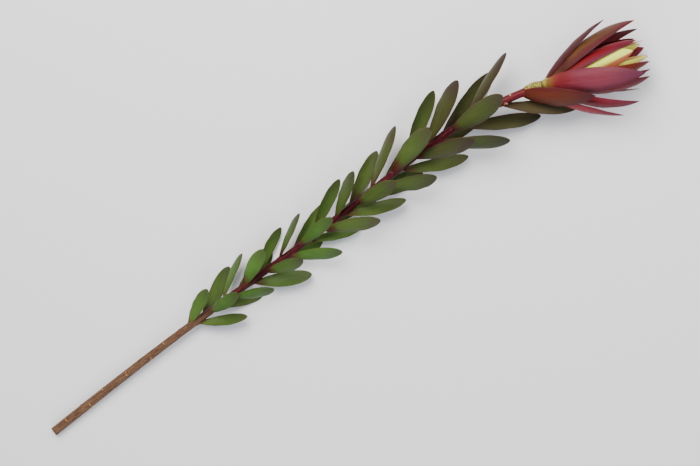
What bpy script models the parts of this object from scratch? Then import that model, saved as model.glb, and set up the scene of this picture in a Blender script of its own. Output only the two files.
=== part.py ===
"""Cut leucadendron stem, lying on a surface.

The stem lies along X, with its cut end at -X and its flower head at +X, and +Z is up. Four pieces
stand in line along it: the woody stem with its leaves, the red bracts on their receptacle, the pale
inner bracts, and the flower cone. Every blade follows one rule: it leaves the stem at an angle,
curves towards the stem's direction, is cupped across, and bends flat where it meets the surface.
"""

import math
import random
from dataclasses import dataclass

import bmesh
import bpy
import numpy as np

SEED = 7
MM = 0.001

# Stem, measured along its centre line from the cut end
STEM_LENGTH = 515.0 * MM
CUT_RADIUS = 3.75 * MM
MIDDLE_RADIUS = 2.65 * MM
NECK_RADIUS = 3.2 * MM
MIDDLE_AT = 300.0 * MM
CUT_SLANT = math.radians(24.0)
STEM_SIDES = 10
STEM_RINGS = 34

# Lie of the stem: it rises from the cut end to the head, and the top turns towards -Y
CUT_PITCH = math.radians(1.5)
HEAD_PITCH = math.radians(3.1)
HEAD_YAW = math.radians(-16.0)
BEND_FROM = 380.0 * MM
BEND_TO = 530.0 * MM
SWAY = math.radians(1.3)
SWAY_LENGTH = 340.0 * MM
SWAY_PHASE = 0.8
PATH_LENGTH = 620.0 * MM
PATH_SAMPLES = 621

# The origin is under the middle of the object's box
ORIGIN_X = 298.94 * MM
ORIGIN_Y = -18.56 * MM

# Leaves
LEAF_COUNT = 44
LEAF_FROM = 158.0 * MM
LEAF_TO = 478.0 * MM
LEAF_LENGTH_LOW = 44.0 * MM
LEAF_LENGTH_HIGH = 65.0 * MM
LEAF_SLIMNESS_LOW = 0.27
LEAF_SLIMNESS_HIGH = 0.25
SPIRAL_STEP = math.radians(-137.508)
FIRST_AZIMUTH = math.radians(50.8)
BARE_NECK_FROM = 446.0 * MM
BARE_NECK_HALF = math.radians(62.0)
CLEAR_BELOW_FROM = 450.0 * MM
CLEAR_BELOW_HALF = math.radians(70.0)

# How leaves differ from each other: ranges of the seeded draws, angles in degrees, radii in mm.
# The twist turns a leaf at the side towards lying flat, with its outer face up where it grows from
# the stem's upper half and its inner face up where it grows from the lower half.
LEAF_GROWTH = 1.5
LEAF_LENGTH_SPREAD = 0.08
LEAF_WIDTH_SPREAD = 0.07
LEAF_AZIMUTH_SPREAD = 7.0
LEAF_ANGLE_ROOT = (33.0, 43.0)
LEAF_ANGLE_TIP = (16.0, 27.0)
LEAF_SIDE_BEND = 9.0
LEAF_ROLL = 16.0
LEAF_TWIST = 34.0
LEAF_CUP_RADIUS = (15.0, 26.0)
LEAF_ROOT_CUP_RADIUS = 6.0 * MM

# Leaf scars on the stripped foot and on the neck
SCAR_SPACING = 8.6 * MM
SCAR_FROM = 20.0 * MM
SCAR_RADIUS = 1.1 * MM
SCAR_HEIGHT = 0.5 * MM
SCAR_SIDES = 6
SCAR_DEPTH = 1.2 * MM
SCAR_FLARE = 1.25
FOOT_SCAR_TURN = 0.4
COLLAR_SCAR_TURN = 0.9
COLLAR_AT = 507.0 * MM
COLLAR_LENGTH = 11.0 * MM
COLLAR_SWELL = 0.8 * MM
COLLAR_SCARS = 12

# Head: the red bracts' receptacle, the pale bracts' disc and the cone, end to end with a small gap
GAP = 0.3 * MM
RECEPTACLE_LENGTH = 13.5 * MM
RECEPTACLE_RADIUS = 4.9 * MM
RECEPTACLE_PROFILE = ((0.0, 0.72), (0.3, 0.88), (0.65, 1.0), (1.0, 0.96))
DISC_LENGTH = 3.0 * MM
DISC_RADIUS = 4.6 * MM
CONE_LENGTH = 16.0 * MM
CONE_RADIUS = 4.0 * MM
CONE_FROM = 0.16
CONE_TO = 0.96
CONE_LOW_BELLY = 0.85
CONE_BLUNTNESS = 0.7
CONE_RINGS = 17
CONE_SIDES = 26
CONE_SPIRALS = (5, 8)
CONE_TURNS = 4.0
CONE_SCALE_DEPTH = 0.45 * MM

# Blades
MIDRIB_THICKNESS = 0.9 * MM
EDGE_THICKNESS = 0.6 * MM
TIP_WIDTH = 1.4 * MM
ROOT_DEPTH = 1.3 * MM
FLOOR_SOFTNESS = 3.0 * MM
FLOOR_SNAP = 0.25 * MM
LEAF_ROWS = (0.0, 0.15, 0.32, 0.50, 0.67, 0.82, 0.93, 1.0)
BRACT_ROWS = (0.0, 0.11, 0.25, 0.40, 0.55, 0.70, 0.83, 0.93, 1.0)
LEAF_COLUMNS = 3
BRACT_COLUMNS = 5
CURVE_SAMPLES = 65
SLOPE_STEP = 0.002


@dataclass
class Outline:
    """Width of a blade along its length: base share, and the powers of its rise and fall."""

    base: float
    rise: float
    fall: float

    def width(self, t):
        """Share of the full width at t, from 0 at the root to 1 at the tip."""
        peak_at = self.rise / (self.rise + self.fall)
        peak = peak_at**self.rise * (1.0 - peak_at) ** self.fall
        inner = np.clip(t, 0.0, 1.0)
        return self.base * (1.0 - inner) ** 2 + inner**self.rise * (1.0 - inner) ** self.fall / peak


LEAF_OUTLINE = Outline(base=0.20, rise=1.0, fall=0.6)
BRACT_OUTLINE = Outline(base=0.42, rise=0.8, fall=0.85)
PALE_OUTLINE = Outline(base=0.36, rise=0.9, fall=0.85)


@dataclass
class Blade:
    """One leaf or bract: where it grows, its size, its angles from the stem and its cupping."""

    at: float
    azimuth: float
    length: float
    width: float
    angle_root: float
    angle_tip: float
    outline: Outline
    side_root: float = 0.0
    side_tip: float = 0.0
    roll: float = 0.0
    cup: float = 0.0
    cup_root: float = 0.0
    root_radius: float = 1.5 * MM


@dataclass
class Whorl:
    """A ring of like bracts, spread evenly over an arc; angles in degrees, cupping in 1/mm.

    The twist goes with the sine of a bract's azimuth, and turns the outer face of a side bract up.
    """

    count: int
    at: float
    root_radius: float
    azimuth_from: float
    azimuth_to: float
    length: float
    width: float
    angle_root: float
    angle_tip: float
    roll: float
    cup: float
    cup_root: float
    twist: float = 0.0
    spread: float = 0.04


BRACT_AT_SPREAD = 0.4 * MM
BRACT_TURN_SPREAD = 3.0
BRACT_ANGLE_SPREAD = 2.0

OUTER_WHORL = Whorl(
    count=6,
    at=517.0 * MM,
    root_radius=3.0 * MM,
    azimuth_from=86.0,
    azimuth_to=284.0,
    length=70.0 * MM,
    width=12.0 * MM,
    angle_root=38.0,
    angle_tip=13.0,
    roll=0.0,
    cup=1 / 24,
    cup_root=1 / 9,
    twist=22.0,
    spread=0.07,
)
MIDDLE_WHORL = Whorl(
    count=6,
    at=520.0 * MM,
    root_radius=3.6 * MM,
    azimuth_from=76.0,
    azimuth_to=341.0,
    length=80.0 * MM,
    width=20.0 * MM,
    angle_root=35.0,
    angle_tip=-8.0,
    roll=0.0,
    cup=1 / 20,
    cup_root=1 / 9,
    twist=16.0,
)
INNER_WHORL = Whorl(
    count=5,
    at=523.6 * MM,
    root_radius=3.2 * MM,
    azimuth_from=54.0,
    azimuth_to=306.0,
    length=73.0 * MM,
    width=17.0 * MM,
    angle_root=26.0,
    angle_tip=-13.0,
    roll=5.0,
    cup=1 / 14,
    cup_root=1 / 8,
)
PALE_WHORL = Whorl(
    count=5,
    at=530.4 * MM,
    root_radius=3.7 * MM,
    azimuth_from=7.0,
    azimuth_to=295.0,
    length=67.0 * MM,
    width=15.0 * MM,
    angle_root=17.0,
    angle_tip=-11.0,
    roll=5.0,
    cup=1 / 9,
    cup_root=1 / 6,
)

# The bract at the front of the middle whorl starts low on the receptacle and leans to the right
FRONT_AT = 516.6 * MM
FRONT_LENGTH = 80.0 * MM
FRONT_LEAN_ROOT = math.radians(-5.0)
FRONT_LEAN_TIP = math.radians(-14.0)

# The outer bract on the right of the head spreads wide and turns its outer face up
RIGHT_TURN = math.radians(-6.0)
RIGHT_WIDTH = 13.0 * MM
RIGHT_ANGLE_ROOT = math.radians(50.0)
RIGHT_ANGLE_TIP = math.radians(8.0)
RIGHT_ROLL = math.radians(36.0)

# The pale bract on top is broader and flatter than the others, and stands over them
TOP_PALE_LENGTH = 60.0 * MM
TOP_PALE_WIDTH = 18.0 * MM
TOP_PALE_ANGLE_ROOT = math.radians(23.0)
TOP_PALE_ANGLE_TIP = math.radians(-13.0)
TOP_PALE_ROLL = math.radians(-1.0)
TOP_PALE_CUP = 1 / (11 * MM)

# Two bracts that grow from the neck below the head, on its right
NECK_BRACT = Blade(
    at=497.0 * MM,
    azimuth=math.radians(-50.0),
    length=60.0 * MM,
    width=17.0 * MM,
    angle_root=math.radians(40.0),
    angle_tip=math.radians(12.0),
    outline=BRACT_OUTLINE,
    side_tip=math.radians(-5.0),
    roll=math.radians(22.0),
    cup=1 / (22 * MM),
    cup_root=1 / (9 * MM),
    root_radius=1.9 * MM,
)
SIDE_BRACT = Blade(
    at=505.5 * MM,
    azimuth=math.radians(-80.0),
    length=74.0 * MM,
    width=11.0 * MM,
    angle_root=math.radians(48.0),
    angle_tip=math.radians(24.0),
    outline=BRACT_OUTLINE,
    roll=math.radians(24.0),
    cup=1 / (20 * MM),
    cup_root=1 / (9 * MM),
    root_radius=1.9 * MM,
)

# Colours as linear red, green and blue, with roughness
STEM_COLOUR = (0.22, 0.02, 0.035)
LEAF_COLOUR = (0.10, 0.16, 0.05)
RED_COLOUR = (0.24, 0.03, 0.05)
PALE_COLOUR = (0.62, 0.60, 0.25)
CONE_COLOUR = (0.45, 0.42, 0.12)
SATIN_ROUGHNESS = 0.45
SHARP_ANGLE = math.radians(40.0)


def smooth_step(x):
    """Cubic step from 0 to 1, flat at both ends."""
    inner = np.clip(x, 0.0, 1.0)
    return inner * inner * (3.0 - 2.0 * inner)


class StemPath:
    """The stem's centre line and the directions round it, by distance from the cut end."""

    def __init__(self):
        s = np.linspace(0.0, PATH_LENGTH, PATH_SAMPLES)
        pitch = CUT_PITCH + (HEAD_PITCH - CUT_PITCH) * smooth_step(s / STEM_LENGTH)
        yaw = HEAD_YAW * smooth_step((s - BEND_FROM) / (BEND_TO - BEND_FROM))
        yaw = yaw + SWAY * np.sin(2.0 * np.pi * s / SWAY_LENGTH + SWAY_PHASE)
        along = np.stack([np.cos(pitch) * np.cos(yaw), np.cos(pitch) * np.sin(yaw), np.sin(pitch)], 1)
        steps = 0.5 * (along[1:] + along[:-1]) * (s[1] - s[0])
        start = np.array([-ORIGIN_X, -ORIGIN_Y, CUT_RADIUS])
        self.s = s
        self.yaw = yaw
        self.pitch = pitch
        self.points = start + np.vstack([np.zeros(3), np.cumsum(steps, 0)])

    def point(self, s):
        """Centre of the stem at s."""
        return np.array([np.interp(s, self.s, self.points[:, k]) for k in range(3)])

    def frame(self, s):
        """Directions at s: along the stem, up from it, and sideways to its left."""
        yaw = float(np.interp(s, self.s, self.yaw))
        pitch = float(np.interp(s, self.s, self.pitch))
        along = np.array([math.cos(pitch) * math.cos(yaw), math.cos(pitch) * math.sin(yaw), math.sin(pitch)])
        left = np.array([-math.sin(yaw), math.cos(yaw), 0.0])
        return along, np.cross(along, left), left

    def ring(self, s, radius, sides, slant=0.0):
        """Points of a ring round the stem; a slant sets the upper ones back along it."""
        along, up, left = self.frame(s)
        angles = 2.0 * np.pi * np.arange(sides) / sides
        radius = np.broadcast_to(radius, angles.shape)
        out = radius[:, None] * (np.cos(angles)[:, None] * up + np.sin(angles)[:, None] * left)
        setback = math.tan(slant) * radius * (1.0 + np.cos(angles))
        return self.point(s) + out + setback[:, None] * along


PATH = StemPath()


def stem_radius(s):
    """The stem thins from the cut end to its middle and swells a little to the neck."""
    low = CUT_RADIUS + (MIDDLE_RADIUS - CUT_RADIUS) * smooth_step(s / MIDDLE_AT)
    high = (NECK_RADIUS - MIDDLE_RADIUS) * smooth_step((s - MIDDLE_AT) / (STEM_LENGTH - MIDDLE_AT))
    collar = COLLAR_SWELL * np.exp(-(((s - COLLAR_AT) / (0.5 * COLLAR_LENGTH)) ** 2))
    return low + high + collar


def rest_on_surface(z):
    """Height after a blade bends to lie flat: a parabola joins the free part to the flat part."""
    flat = 0.5 * MIDRIB_THICKNESS
    depth = z - flat
    eased = flat + (depth + FLOOR_SOFTNESS) ** 2 / (4.0 * FLOOR_SOFTNESS)
    return np.where(depth > FLOOR_SOFTNESS, z, np.where(depth < -FLOOR_SOFTNESS, flat, eased))


def blade_surface(blade, t, v):
    """Middle surface of a blade. t runs from root to tip, and v from one edge, -1, to the other, 1.

    The midrib is the running sum of its direction, which turns from the root's angle to the tip's.
    Each cross line is an arc of the cup's curvature, rolled about the midrib.
    """
    along, up, left = PATH.frame(blade.at)
    out = math.cos(blade.azimuth) * up + math.sin(blade.azimuth) * left
    side = -math.sin(blade.azimuth) * up + math.cos(blade.azimuth) * left

    def directions(u):
        angle = (blade.angle_root + (blade.angle_tip - blade.angle_root) * u)[..., None]
        lean = (blade.side_root + (blade.side_tip - blade.side_root) * u)[..., None]
        straight = np.cos(angle) * along + np.sin(angle) * out
        inward = np.sin(angle) * along - np.cos(angle) * out
        across = np.cos(lean) * side - np.sin(lean) * straight
        forward = np.cos(lean) * straight + np.sin(lean) * side
        rolled = math.cos(blade.roll) * across + math.sin(blade.roll) * inward
        return forward, rolled, math.cos(blade.roll) * inward - math.sin(blade.roll) * across

    samples = np.linspace(-SLOPE_STEP, 1.0 + SLOPE_STEP, CURVE_SAMPLES)
    forward, _, _ = directions(samples)
    steps = 0.5 * (forward[1:] + forward[:-1]) * (samples[1] - samples[0]) * blade.length
    rib = PATH.point(blade.at) + out * blade.root_radius + np.vstack([np.zeros(3), np.cumsum(steps, 0)])
    middle = np.stack([np.interp(t, samples, rib[:, k]) for k in range(3)], -1)
    _, across, inward = directions(t)
    width = np.maximum(blade.width * blade.outline.width(t), TIP_WIDTH)
    curve = blade.cup + (blade.cup_root - blade.cup) * (1.0 - np.clip(t, 0.0, 1.0)) ** 3
    turn = 0.5 * v * width * curve
    points = middle + across * (np.sin(turn) / curve)[..., None]
    points = points + inward * ((1.0 - np.cos(turn)) / curve)[..., None]
    points[..., 2] = rest_on_surface(points[..., 2])
    return points


def blade_normals(blade, t, v):
    """Unit normals on the side away from the stem, from small steps along and across the blade."""
    step = SLOPE_STEP
    low = np.minimum(t, 1.0 - 2.0 * step)
    along = blade_surface(blade, low + step, v) - blade_surface(blade, low - step, v)
    across = blade_surface(blade, t, v + step) - blade_surface(blade, t, v - step)
    normal = np.cross(along, across)
    return normal / np.linalg.norm(normal, axis=-1, keepdims=True)


def blade_mesh(blade, rows, columns):
    """Closed thin solid of a blade, with both faces split along the same diagonals."""
    t, v = np.meshgrid(np.array(rows), np.linspace(-1.0, 1.0, columns), indexing="ij")
    middle = blade_surface(blade, t, v)
    normals = blade_normals(blade, t, v)
    half = 0.5 * (MIDRIB_THICKNESS - (MIDRIB_THICKNESS - EDGE_THICKNESS) * v * v)
    outer = middle + normals * half[..., None]
    inner = middle - normals * half[..., None]
    outer[..., 2] = np.where(outer[..., 2] < FLOOR_SNAP, 0.0, outer[..., 2])

    bm = bmesh.new()
    top = [[bm.verts.new(outer[i, j]) for j in range(columns)] for i in range(len(rows))]
    low = [[bm.verts.new(inner[i, j]) for j in range(columns)] for i in range(len(rows))]
    last_row = len(rows) - 1
    last_column = columns - 1
    for i in range(last_row):
        for j in range(last_column):
            a, b, c, d = top[i][j], top[i + 1][j], top[i + 1][j + 1], top[i][j + 1]
            e, f, g, h = low[i][j], low[i + 1][j], low[i + 1][j + 1], low[i][j + 1]
            for corners in ((a, b, c), (a, c, d), (e, g, f), (e, h, g)):
                bm.faces.new(corners)
    for i in range(last_row):
        bm.faces.new((top[i][0], low[i][0], low[i + 1][0], top[i + 1][0]))
        far = (top[i][last_column], top[i + 1][last_column], low[i + 1][last_column], low[i][last_column])
        bm.faces.new(far)
    for j in range(last_column):
        bm.faces.new((top[0][j], top[0][j + 1], low[0][j + 1], low[0][j]))
        bm.faces.new((top[last_row][j], low[last_row][j], low[last_row][j + 1], top[last_row][j + 1]))
    bmesh.ops.triangulate(bm, faces=[face for face in bm.faces if len(face.verts) > 3])
    return bm


def ring_solid(rings):
    """Closed solid through a row of rings, capped at both ends."""
    bm = bmesh.new()
    loops = [[bm.verts.new(point) for point in ring] for ring in rings]
    for low, high in zip(loops, loops[1:]):
        sides = len(low)
        for k in range(sides):
            bm.faces.new((low[k], low[(k + 1) % sides], high[(k + 1) % sides], high[k]))
    bm.faces.new(loops[0])
    bm.faces.new(loops[-1])
    bmesh.ops.recalc_face_normals(bm, faces=bm.faces)
    bmesh.ops.triangulate(bm, faces=[face for face in bm.faces if len(face.verts) > 3])
    return bm


def scar_mesh(s, azimuth):
    """Low stud left where a leaf was: a short tapered peg sunk into the stem."""
    along, up, left = PATH.frame(s)
    out = math.cos(azimuth) * up + math.sin(azimuth) * left
    side = -math.sin(azimuth) * up + math.cos(azimuth) * left
    angles = 2.0 * np.pi * np.arange(SCAR_SIDES) / SCAR_SIDES
    rings = []
    for height, radius in ((-SCAR_DEPTH, SCAR_FLARE), (SCAR_HEIGHT, 1.0)):
        centre = PATH.point(s) + out * (stem_radius(s) + height)
        circle = np.cos(angles)[:, None] * along + np.sin(angles)[:, None] * side
        rings.append(centre + circle * SCAR_RADIUS * radius)
    return ring_solid(rings)


def material(name, colour, roughness):
    """Principled material with a plain colour."""
    made = bpy.data.materials.new(name)
    made.use_nodes = True
    shader = made.node_tree.nodes["Principled BSDF"]
    shader.inputs["Base Color"].default_value = (*colour, 1.0)
    shader.inputs["Roughness"].default_value = roughness
    shader.inputs["Metallic"].default_value = 0.0
    made.diffuse_color = (*colour, 1.0)
    return made


def new_object(name, bm, collection):
    """Object at the origin that holds the bmesh, linked to the collection."""
    mesh = bpy.data.meshes.new(name)
    bm.to_mesh(mesh)
    bm.free()
    made = bpy.data.objects.new(name, mesh)
    collection.objects.link(made)
    return made


def keep_outer_skin(mesh):
    """Keep the largest connected skin: a hollow sealed by the union is filled, a loose scrap goes."""
    bm = bmesh.new()
    bm.from_mesh(mesh)
    waiting = set(bm.verts)
    skins = []
    while waiting:
        stack = [waiting.pop()]
        skin = list(stack)
        while stack:
            for edge in stack.pop().link_edges:
                for vert in edge.verts:
                    if vert in waiting:
                        waiting.remove(vert)
                        stack.append(vert)
                        skin.append(vert)
        skins.append(skin)
    skins.sort(key=len)
    for skin in skins[:-1]:
        bmesh.ops.delete(bm, geom=skin, context="VERTS")
    bm.to_mesh(mesh)
    bm.free()


def fused(name, base, additions, finish):
    """One solid: the base joined with every addition by a Boolean union."""
    scene = bpy.context.scene.collection
    body = new_object(name, base, scene)
    group = bpy.data.collections.new(name + "_repeats")
    scene.children.link(group)
    for index, addition in enumerate(additions):
        new_object(f"{name}_repeat_{index:02d}", addition, group)
    union = body.modifiers.new("union", "BOOLEAN")
    union.operation = "UNION"
    union.operand_type = "COLLECTION"
    union.collection = group
    union.solver = "EXACT"
    bpy.context.view_layer.update()
    evaluated = body.evaluated_get(bpy.context.evaluated_depsgraph_get())
    joined = bpy.data.meshes.new_from_object(evaluated)
    keep_outer_skin(joined)
    body.modifiers.clear()
    body.data = joined
    for repeat in list(group.objects):
        bpy.data.objects.remove(repeat)
    bpy.data.collections.remove(group)
    joined.materials.clear()
    joined.materials.append(finish)
    joined.shade_smooth()
    joined.set_sharp_from_angle(angle=SHARP_ANGLE)
    return body


def either_side(rng, spread):
    """Seeded draw between minus and plus the spread."""
    return rng.uniform(-spread, spread)


def facing(azimuth, centre, half_width):
    """True where an azimuth lies within half_width of the centre."""
    turn = (azimuth - centre + math.pi) % (2.0 * math.pi) - math.pi
    return abs(turn) < half_width


def leaf_blades(rng):
    """Leaves in a spiral up the stem, longer near the head, and none on the bare neck."""
    leaves = []
    bare = []
    for index in range(LEAF_COUNT):
        share = index / (LEAF_COUNT - 1)
        at = LEAF_FROM + (LEAF_TO - LEAF_FROM) * share
        azimuth = FIRST_AZIMUTH + SPIRAL_STEP * index
        azimuth += math.radians(either_side(rng, LEAF_AZIMUTH_SPREAD))
        length = LEAF_LENGTH_LOW + (LEAF_LENGTH_HIGH - LEAF_LENGTH_LOW) * share**LEAF_GROWTH
        length *= 1.0 + either_side(rng, LEAF_LENGTH_SPREAD)
        slimness = LEAF_SLIMNESS_LOW + (LEAF_SLIMNESS_HIGH - LEAF_SLIMNESS_LOW) * share
        twist = math.copysign(LEAF_TWIST, math.cos(azimuth)) * math.sin(azimuth)
        leaf = Blade(
            at=at,
            azimuth=azimuth,
            length=length,
            width=length * slimness * (1.0 + either_side(rng, LEAF_WIDTH_SPREAD)),
            angle_root=math.radians(rng.uniform(*LEAF_ANGLE_ROOT)),
            angle_tip=math.radians(rng.uniform(*LEAF_ANGLE_TIP)),
            outline=LEAF_OUTLINE,
            side_tip=math.radians(either_side(rng, LEAF_SIDE_BEND)),
            roll=math.radians(either_side(rng, LEAF_ROLL) - twist),
            cup=1.0 / (rng.uniform(*LEAF_CUP_RADIUS) * MM),
            cup_root=1.0 / LEAF_ROOT_CUP_RADIUS,
            root_radius=stem_radius(at) - ROOT_DEPTH,
        )
        on_top = at > BARE_NECK_FROM and facing(azimuth, 0.0, BARE_NECK_HALF)
        below = at > CLEAR_BELOW_FROM and facing(azimuth, math.pi, CLEAR_BELOW_HALF)
        if on_top or below:
            bare.append(leaf)
        else:
            leaves.append(leaf)
    return leaves, bare


def whorl_blades(whorl, outline, rng):
    """Bracts of one whorl, with small seeded differences."""
    blades = []
    for index in range(whorl.count):
        share = index / (whorl.count - 1)
        at = whorl.at + either_side(rng, BRACT_AT_SPREAD)
        azimuth = whorl.azimuth_from + (whorl.azimuth_to - whorl.azimuth_from) * share
        azimuth = math.radians(azimuth + either_side(rng, BRACT_TURN_SPREAD))
        blades.append(
            Blade(
                at=at,
                azimuth=azimuth,
                length=whorl.length * (1.0 + either_side(rng, whorl.spread)),
                width=whorl.width * (1.0 + either_side(rng, whorl.spread)),
                angle_root=math.radians(whorl.angle_root + either_side(rng, BRACT_ANGLE_SPREAD)),
                angle_tip=math.radians(whorl.angle_tip + either_side(rng, BRACT_ANGLE_SPREAD)),
                outline=outline,
                roll=math.radians(whorl.roll - whorl.twist * math.sin(azimuth)),
                cup=whorl.cup / MM,
                cup_root=whorl.cup_root / MM,
                root_radius=whorl.root_radius,
            )
        )
    return blades


def leafy_stem(rng):
    """Woody stem with its leaves and leaf scars."""
    stations = np.linspace(0.0, STEM_LENGTH, STEM_RINGS)
    rings = [PATH.ring(0.0, CUT_RADIUS, STEM_SIDES, slant=CUT_SLANT)]
    rings += [PATH.ring(s, float(stem_radius(s)), STEM_SIDES) for s in stations[1:]]
    leaves, bare = leaf_blades(rng)
    pieces = [blade_mesh(leaf, LEAF_ROWS, LEAF_COLUMNS) for leaf in leaves]
    pieces += [blade_mesh(bract, BRACT_ROWS, BRACT_COLUMNS) for bract in (NECK_BRACT, SIDE_BRACT)]
    scars = [(leaf.at, leaf.azimuth) for leaf in bare]
    foot_count = int((LEAF_FROM - SCAR_FROM) / SCAR_SPACING)
    scars += [(SCAR_FROM + SCAR_SPACING * k, SPIRAL_STEP * k + FOOT_SCAR_TURN) for k in range(foot_count)]
    for k in range(COLLAR_SCARS):
        at = COLLAR_AT + COLLAR_LENGTH * (k / (COLLAR_SCARS - 1) - 0.5)
        scars.append((at, SPIRAL_STEP * k + COLLAR_SCAR_TURN))
    pieces += [scar_mesh(s, azimuth) for s, azimuth in scars]
    finish = material("leaf_and_stem", LEAF_COLOUR, SATIN_ROUGHNESS)
    return fused("leafy_stem", ring_solid(rings), pieces, finish)


def red_blades(rng):
    """The three whorls of red bracts, with the front one leaning aside and the right one turned."""
    outer, middle, inner = (
        whorl_blades(whorl, BRACT_OUTLINE, rng) for whorl in (OUTER_WHORL, MIDDLE_WHORL, INNER_WHORL)
    )
    right = outer[-1]
    right.azimuth += RIGHT_TURN
    right.width = RIGHT_WIDTH
    right.angle_root = RIGHT_ANGLE_ROOT
    right.angle_tip = RIGHT_ANGLE_TIP
    right.roll = RIGHT_ROLL
    front = middle[-1]
    front.at = FRONT_AT
    front.length = FRONT_LENGTH
    front.side_root = FRONT_LEAN_ROOT
    front.side_tip = FRONT_LEAN_TIP
    return outer + middle + inner


def red_bracts(rng):
    """Receptacle with three whorls of red bracts."""
    start = STEM_LENGTH + GAP
    rings = [
        PATH.ring(start + RECEPTACLE_LENGTH * along, RECEPTACLE_RADIUS * share, STEM_SIDES)
        for along, share in RECEPTACLE_PROFILE
    ]
    pieces = [blade_mesh(blade, BRACT_ROWS, BRACT_COLUMNS) for blade in red_blades(rng)]
    return fused("red_bracts", ring_solid(rings), pieces, material("red_bract", RED_COLOUR, SATIN_ROUGHNESS))


def pale_blades(rng):
    """The ring of pale inner bracts, with the broad one on top."""
    blades = whorl_blades(PALE_WHORL, PALE_OUTLINE, rng)
    top = blades[0]
    top.length = TOP_PALE_LENGTH
    top.width = TOP_PALE_WIDTH
    top.angle_root = TOP_PALE_ANGLE_ROOT
    top.angle_tip = TOP_PALE_ANGLE_TIP
    top.roll = TOP_PALE_ROLL
    top.cup = TOP_PALE_CUP
    return blades


def pale_bracts(rng):
    """Disc with the ring of pale inner bracts."""
    start = STEM_LENGTH + GAP + RECEPTACLE_LENGTH + GAP
    rings = [PATH.ring(start + DISC_LENGTH * share, DISC_RADIUS, STEM_SIDES) for share in (0.0, 1.0)]
    pieces = [blade_mesh(blade, BRACT_ROWS, BRACT_COLUMNS) for blade in pale_blades(rng)]
    finish = material("pale_bract", PALE_COLOUR, SATIN_ROUGHNESS)
    return fused("pale_bracts", ring_solid(rings), pieces, finish)


def cone_radius(share, angles):
    """Egg profile, lowered between the scales where two sets of spirals cross."""
    inner = CONE_FROM + (CONE_TO - CONE_FROM) * share
    body = CONE_RADIUS * math.sin(math.pi * inner**CONE_LOW_BELLY) ** CONE_BLUNTNESS
    climb = 2.0 * np.pi * CONE_TURNS * share
    first, second = CONE_SPIRALS
    relief = np.abs(np.sin(0.5 * first * angles + climb)) + np.abs(np.sin(0.5 * second * angles - climb))
    return body - CONE_SCALE_DEPTH * math.sin(math.pi * share) * (1.0 - 0.5 * relief)


def flower_cone():
    """Egg-shaped cone of overlapping scales, raised from its surface by a formula."""
    start = STEM_LENGTH + GAP + RECEPTACLE_LENGTH + GAP + DISC_LENGTH + GAP
    angles = 2.0 * np.pi * np.arange(CONE_SIDES) / CONE_SIDES
    rings = [
        PATH.ring(start + CONE_LENGTH * share, cone_radius(share, angles), CONE_SIDES)
        for share in np.linspace(0.0, 1.0, CONE_RINGS)
    ]
    cone = new_object("flower_cone", ring_solid(rings), bpy.context.scene.collection)
    cone.data.materials.append(material("cone_scale", CONE_COLOUR, SATIN_ROUGHNESS))
    return cone


def main():
    """Clear the scene and build the four nodes, with one seeded source of small differences."""
    for old in list(bpy.data.objects):
        bpy.data.objects.remove(old)
    rng = random.Random(SEED)
    leafy_stem(rng)
    red_bracts(rng)
    pale_bracts(rng)
    flower_cone()


main()
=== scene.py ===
"""Looks of a cut leucadendron stem that lies on a pale surface.

The stem lies along X, with its cut end at -X and its flower head at +X. Every leaf, bract and scale
follows one blade rule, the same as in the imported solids, worked out here on a finer grid with a rib,
rounded margins and a callus tip. The bark is a tube whose radius is a relief of leaf cushions, scars
and fine ridges. Colours run along and across each blade from five colours that the blade carries.
"""

import logging
import math
import random
from dataclasses import asdict, astuple, dataclass, field, replace
from enum import Enum

import bpy
import numpy as np
from mathutils import Matrix, Vector


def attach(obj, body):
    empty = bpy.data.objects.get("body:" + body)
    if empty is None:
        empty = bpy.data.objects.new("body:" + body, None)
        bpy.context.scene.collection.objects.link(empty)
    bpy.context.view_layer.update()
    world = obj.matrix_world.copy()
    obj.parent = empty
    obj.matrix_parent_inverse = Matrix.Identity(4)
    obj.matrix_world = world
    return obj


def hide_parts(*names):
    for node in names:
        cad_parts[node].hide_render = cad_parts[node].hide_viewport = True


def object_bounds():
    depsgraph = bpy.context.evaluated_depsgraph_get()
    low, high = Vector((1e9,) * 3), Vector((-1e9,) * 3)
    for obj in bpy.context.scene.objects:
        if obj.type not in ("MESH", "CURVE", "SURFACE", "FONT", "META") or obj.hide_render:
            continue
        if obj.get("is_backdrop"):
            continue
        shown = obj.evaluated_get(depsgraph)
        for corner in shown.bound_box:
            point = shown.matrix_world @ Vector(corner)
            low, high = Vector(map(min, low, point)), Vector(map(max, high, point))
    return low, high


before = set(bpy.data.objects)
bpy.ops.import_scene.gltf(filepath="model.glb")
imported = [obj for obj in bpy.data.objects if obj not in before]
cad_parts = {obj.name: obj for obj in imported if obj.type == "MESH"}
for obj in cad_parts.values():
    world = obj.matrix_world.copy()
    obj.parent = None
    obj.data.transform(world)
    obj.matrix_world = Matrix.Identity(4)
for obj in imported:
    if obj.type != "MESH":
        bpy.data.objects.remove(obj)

Array = np.ndarray
Triple = tuple[float, float, float]
Colour = Triple
Range = tuple[float, float]
Mark = tuple[float, float]
Socket = bpy.types.NodeSocket
Value = Socket | float | Colour | Array
LOG = logging.getLogger("leucadendron")
MM = 0.001
SEED = 7
FINE_SEED = 23
SPIRAL = math.radians(-137.508)
ATTRIBUTE_KINDS = {1: ("FLOAT", "value"), 3: ("FLOAT_VECTOR", "vector"), 4: ("FLOAT_COLOR", "color")}


def smooth_step(x: Array) -> Array:
    """Cubic step 3x^2 - 2x^3 from 0 to 1, flat at both ends and beyond them."""
    inner = np.clip(x, 0.0, 1.0)
    return inner * inner * (3.0 - 2.0 * inner)


def bell(x: Array) -> Array:
    """Bell curve exp(-x^2), which is 1 at 0."""
    return np.exp(-x * x)


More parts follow.
